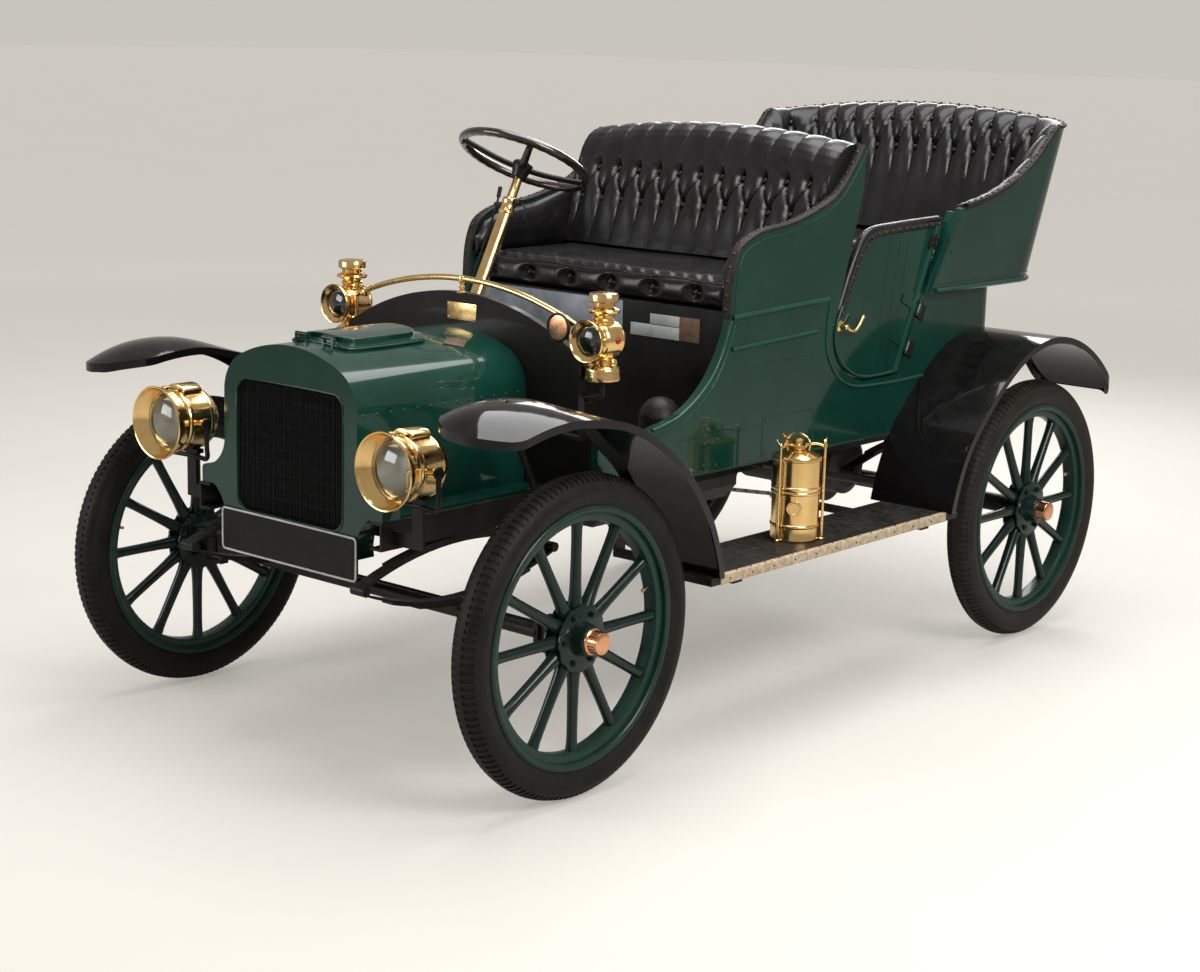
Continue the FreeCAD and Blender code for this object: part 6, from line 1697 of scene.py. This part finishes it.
def dash_trim():
    pieces = [upright_plate("dash_plate", DASH_FACE, -41, 65, 1076, 1122, 0.0022, 0.6, dull_brass)]
    screw = [(0, 0), (0, 3), (0.8, 3), (1.5, 2), (1.7, 0)]
    metal = [turned("plate_screw", screw, at(x, DASH_FACE - 2.2, z), FORWARD, 12, 50)
             for x, z in ((-35, 1082), (59, 1082), (59, 1116), (-35, 1116))]
    sweep = (RAIL_HALF ** 2 + RAIL_BOW ** 2) / (2 * RAIL_BOW)
    bow = [at(x, RAIL_Y, RAIL_TOP - sweep + math.sqrt(sweep ** 2 - x * x))
           for x in range(-RAIL_HALF, RAIL_HALF + 1, 24)]
    metal.append(tube("dash_rail", bow, 8.2, fine=3, sides=4))
    metal += [bar("rail_foot", at(x, RAIL_Y, 1041), at(x, RAIL_Y, 1102), 6, 18) for x in (-RAIL_HALF, RAIL_HALF)]
    bracket = [(0, 0), (0, 15), (3, 15), (4, 9), (10, 6), (13, 8.5), (16, 8.5), (19, 6), (25, 6.5), (28, 10),
               (34, 11.5), (41, 11.5), (45, 10), (47, 0)]
    metal.append(turned("rail_bracket", bracket, at(0, RAIL_Y, 1147), UP, 28, 34))
    ferrule = [(-9, 0), (-9, 11), (-6, 13), (6, 13), (9, 11), (9, 0)]
    metal += [turned("rail_ferrule", ferrule, at(x, RAIL_Y, 1112), Vector((x, 0, -190)), 24, 34) for x in (-372, 372)]
    bolt = [(0, 0), (0, 8), (3, 8), (5, 5), (5.5, 0)]
    bolts = [turned("dash_bolt", bolt, at(x, DASH_FACE, 880), FORWARD, 18, 50) for x in (-395, -210, 210, 395)]
    pieces += [painted(piece, brass) for piece in metal] + [painted(piece, chassis_black) for piece in bolts]
    return joined("dash_trim", pieces)


def badge():
    x = 371
    place = at(x, 300, 1097)
    ring = [(-4, 30), (-4, 37), (-1, 38.5), (4, 37), (5, 34), (3, 32), (1, 31), (0, 30)]
    face = [(-2, 0), (-2, 31.5), (1.2, 31.5), (1.8, 28), (2.6, 14), (2.9, 0)]
    black = [turned("badge_ring", ring, place, FORWARD, 48, 40),
             turned("badge_back", [(-5, 0), (-5, 33), (-2, 33), (-2, 0)], place, FORWARD, 40, 34),
             bar("badge_arm", at(x, 302, 1097), at(x, 322, 1100), 4, 12),
             turned("badge_clip", [(-7, 0), (-7, 12), (7, 12), (7, 0)], at(x, 329, 1101), Vector((1, 0, -0.5)), 20, 34)]
    return joined("badge", [painted(piece, chassis_black) for piece in black]
                  + [painted(turned("badge_face", face, place, FORWARD, 48, 60), copper)])


dash_piece = dash_trim()
settle(dash_piece, ["dash_rail"])
settle(badge())
print("dash trim:", len(dash_piece.data.polygons), "faces")

# %% [markdown]
# ## Hood and its lid
# The lid over the filler necks is a flat pressed collar with a raised, rounded panel in the middle. The panel is one
# outline pushed up, cut into narrow strips by bisecting, and then each point is lifted to the crown of the hood.
# It rides on the lid. Beside it lies a strap end of brown leather, and small rivets run along the hood's side.

# %% Raised panel of the lid
CROWN_RADIUS, CROWN_TOP = 420, 1062


def crown_height(x):
    """Height of the hood's round top."""
    return CROWN_TOP - CROWN_RADIUS + math.sqrt(CROWN_RADIUS ** 2 - x * x)


def lifted(flat, proud):
    """Lift each point of a flat piece to the hood's crown."""
    for vertex in flat.data.vertices:
        vertex.co.z += (crown_height(vertex.co.x * 1000) + proud) / 1000


def lid_panel():
    corners = ((44, 44), (-44, 44), (-44, -126), (44, -126))
    panel = plate("lid_panel", round_corners(corners, 44, 6, lambda x, y: at(x, y, 0)), UP * 0.013, 0)
    edit(panel)
    for step in range(-7, 8):
        bpy.ops.mesh.select_all(action="SELECT")
        bpy.ops.mesh.bisect(plane_co=(step * 0.011, 0, 0), plane_no=(1, 0, 0))
    bpy.ops.object.mode_set(mode="OBJECT")
    lifted(panel, 9.5)
    rounded(panel, 6, 4, 50)
    return painted(clean(panel, 40, FINE_MERGE), coach_green)


def lid_lip():
    """Rolled edge round the lid's collar."""
    corners = ((68, 66), (-68, 66), (-68, -155), (68, -155))
    run = round_corners(corners, 40, 4, lambda x, y: at(x, y, crown_height(x) + 5.5))
    return painted(tube("lid_lip", run, 3.4, closed=True, fine=5, sides=2), coach_green)


lid_piece = joined("lid_trim", [lid_panel(), lid_lip()])
settle(lid_piece, body="hood_lid")

tab_outline = [at(x, y, 0) for x, y in ((129, 128), (159, 174), (132, 217), (98, 172))]
tab = painted(plate("strap_end", tab_outline, UP * 0.004, 0.8), tab_leather)
lifted(tab, 0.2)
settle(tab)

rivets = [(at(side * 245.6, y, 915), Vector((side, 0, 0))) for side in (-1, 1) for y in range(-262, 300, 46)]
RIVET = [(-0.5, 0), (-0.5, 4.2), (1.2, 3.8), (2.4, 2.2), (2.7, 0)]
rivet_model = painted(turned("rivet", RIVET, ORIGIN, UP, 10, 60), coach_green)
settle(stood("hood_rivets", rivet_model, rivets))
dropped(rivet_model)
print("lid trim:", len(lid_piece.data.polygons), "faces")

# %% [markdown]
# ## Radiator and number plate
# The core behind the opening is a row of thin upright sheets before a black block, with level tubes run through them.
# One sheet and one tube are modelled and copied. A thin beaded line runs round the opening. The number plate keeps its
# black field, which stays blank, and gets its border.

# %% Fins, opening bead, plate border
TUBE_Y = -269.3


def core():
    """Black block, eleven level tubes before it, and the fine upright sheets that they run through."""
    low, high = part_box("radiator_core")
    back_block = block("core_block", Vector((low.x + 0.004, low.y + 0.018, low.z + 0.004)),
                       Vector((high.x - 0.004, high.y, high.z - 0.004)), 4)
    sheet = block("fin", at(-195.4, -277, 616), at(-194.4, -262, 966), 0.3, 1)
    pipe = bar("core_tube", at(-197, TUBE_Y, 634), at(197, TUBE_Y, 634), 5, 10)
    sheets = row_of(sheet, 73, lambda k: (0.0054 * k, 0.0007 * math.sin(k * 1.7), 0))
    pipes = row_of(pipe, 11, lambda k: (0, 0, 0.0315 * k))
    return painted(joined("radiator_sheets", [back_block] + sheets + pipes), core_black)


def framing(name, half, low, high, radius, y, thick, material):
    """A thin bead round an upright opening with round corners."""
    corners = ((half - radius, high - radius), (radius - half, high - radius), (radius - half, low + radius),
               (half - radius, low + radius))
    run = round_corners(corners, radius, 4, lambda x, z: at(x, y, z))
    return painted(tube(name, run, thick, closed=True, fine=4, sides=2), material)


fin_piece = core()
settle(fin_piece, ["radiator_core"])
settle(framing("opening_bead", 196, 620, 961, 30, -283.4, 2.4, coach_green))
plate_y = (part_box("number_plate")[0].y - FRONT_AXLE_Y) * 1000
settle(framing("plate_border", 249, 507, 615, 10, plate_y, 2.8, plate_border))
print("fins:", len(fin_piece.data.polygons), "faces; number plate face at y", round(plate_y, 1))

# %% [markdown]
# ## Running boards and seat board
# The boards are covered in black, ribbed sheet, and edged with a nailed metal strip whose paint has worn. The box
# under the front seat carries a grey board with three screws, two pale blank strips and a bare brown end.

# %% Strips, nails and labels
def board_edge():
    """The nailed strip, bent over the board's outer edge."""
    section = [(758, 483.4), (771, 483.6), (772.6, 482), (772.8, 460), (771.6, 457.4), (769, 457.2), (769, 481),
               (758, 481.6)]
    strip = painted(plate("board_strip", [at(x, 500, z) for x, z in section], BACKWARD * 1.076, 0.5), edge_cream)
    nails = [(at(765, 512 + 62 * k, 483.2), UP) for k in range(18)]
    nails += [(at(772.6, 536 + 96 * k, 470), OUTWARD) for k in range(11)]
    small = twin(nail_model, "small_nail", Matrix.Scale(0.55, 4))
    heads = stood("strip_nails", small, nails)
    dropped(small)
    return joined("board_edge_left", [strip, heads])


def board_ribs():
    """Shallow ribs of the black sheet, running along the board."""
    rib = block("rib", at(556, 504, 481.4), at(559, 1572, 483.1), 0.7, 1)
    return painted(joined("board_cover_left", row_of(rib, 19, lambda k: (0.0105 * k, 0, 0))), board_cover)


for piece in (board_edge(), board_ribs()):
    settle_pair(piece)

SEAT_FACE = (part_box("front_seat_box")[0].y - FRONT_AXLE_Y) * 1000


def seat_board():
    pieces = [upright_plate(name, SEAT_FACE, *sides, 0.002, 0.5, material) for name, sides, material in (
        ("long_strip", (127, 302, 1001, 1036), label_blank), ("short_strip", (197, 302, 1038, 1067), label_blank),
        ("bare_end", (304, 374, 1001, 1068), floor_wood))]
    pieces.append(upright_plate("pale_board", SEAT_FACE, -474, 96, 984, 1093, 0.004, 1.5, seat_grey))
    screw = [(0, 0), (0, 5), (1.2, 4.4), (2, 0)]
    pieces += [painted(turned("board_screw", screw, at(x, SEAT_FACE - 4, 1040), FORWARD, 12, 50), chassis_black)
               for x in (-420, -180, 60)]
    return joined("seat_board_strips", pieces)


settle(seat_board())
print("seat board face at y", round(SEAT_FACE, 1))

# %% [markdown]
# ## Pedals, hand lever and floor canister
# Two pedals with ribbed pads, a hand lever on its toothed quadrant, and a black domed canister stand on the floor.
# The lever leans back beside the seat, because in the photograph nothing of it rises above the dash.

# %% Floor pieces
FLOOR_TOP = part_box("floor_controls")[0].z * 1000
CANISTER_TOP = 878


def on_floor(x, y, up):
    return at(x, y, FLOOR_TOP + up)


def floor_pieces():
    pieces = []
    for x in (-340, -180):
        pieces.append(tube("pedal_stem", [on_floor(x, 470, 1), on_floor(x, 462, 50), on_floor(x, 441, 106)], 7))
        pieces.append(block("pedal_pad", on_floor(x - 32, 428, 92), on_floor(x + 32, 438, 142), 4, 3))
        for up in range(98, 135, 9):
            pieces.append(block("pedal_rib", on_floor(x - 27, 437, up), on_floor(x + 27, 440.5, up + 4), 1, 1))
    lever_top = on_floor(-445, 752, 262)
    grip = [(0, 9), (6, 12), (24, 14), (60, 14.5), (92, 13), (100, 8), (102, 0), (0, 0)]
    dome = [(0, 0), (0, 60), (4, 62), (8, 60), (10, 57), (132, 57), (136, 59.5), (142, 59.5), (148, 56), (166, 49),
            (182, 34), (191, 16), (193, 0)]
    dome = [(d * (CANISTER_TOP - FLOOR_TOP) / 193, r) for d, r in dome]
    pieces += [block("quadrant", on_floor(-460, 600, 0), on_floor(-430, 700, 30), 5),
               bar("hand_lever", on_floor(-445, 640, 4), lever_top, 9, 18),
               turned("lever_grip", grip, lever_top, Vector((0, 112, 258)), 24, 40),
               turned("canister", dome, on_floor(398, 690, 0), UP, 48, 34)]
    return painted(joined("floor_pieces", pieces), chassis_black)


floor_set = floor_pieces()
settle(floor_set, ["floor_controls"])
print("floor at z", round(FLOOR_TOP, 1))

# %% [markdown]
# ## Finishes of the drawing office's pieces
# The sheet metal, frame, axles, springs and engine keep the exact shapes they came with. Each one only gets its
# finish, chosen by the kind of surface that the drawing office wrote on it.

# %% Hand out finishes
by_slot = {"body_green": coach_green, "chassis_black": chassis_black, "fender_black": fender_black,
           "wheel_green": wheel_green, "tyre_rubber": tyre_rear, "brass": brass, "lens": lamp_glass, "leather": leather,
           "board_top": board_cover, "floor_wood": floor_wood, "cast_iron": cast_iron, "chain_steel": worn_steel,
           "core_black": core_black, "seat_board": seat_grey, "plate_black": plate_black}
by_name = {"dash": dash_black, "muffler": worn_iron, "front_seat_box": seat_dark, "floor_controls": chassis_black}
given = {}
for entry in frame["record"]["subparts"]:
    chosen = by_name.get(entry["node"], by_slot[entry["material_slot"]])
    for place in frame["nodes"][entry["node"]].material_slots:
        place.material = chosen
    given[chosen.name] = given.get(chosen.name, 0) + 1
print("pieces with each finish:", given)

# %% Take away the models of button and nail
import json

dropped(button_model)
dropped(nail_model)
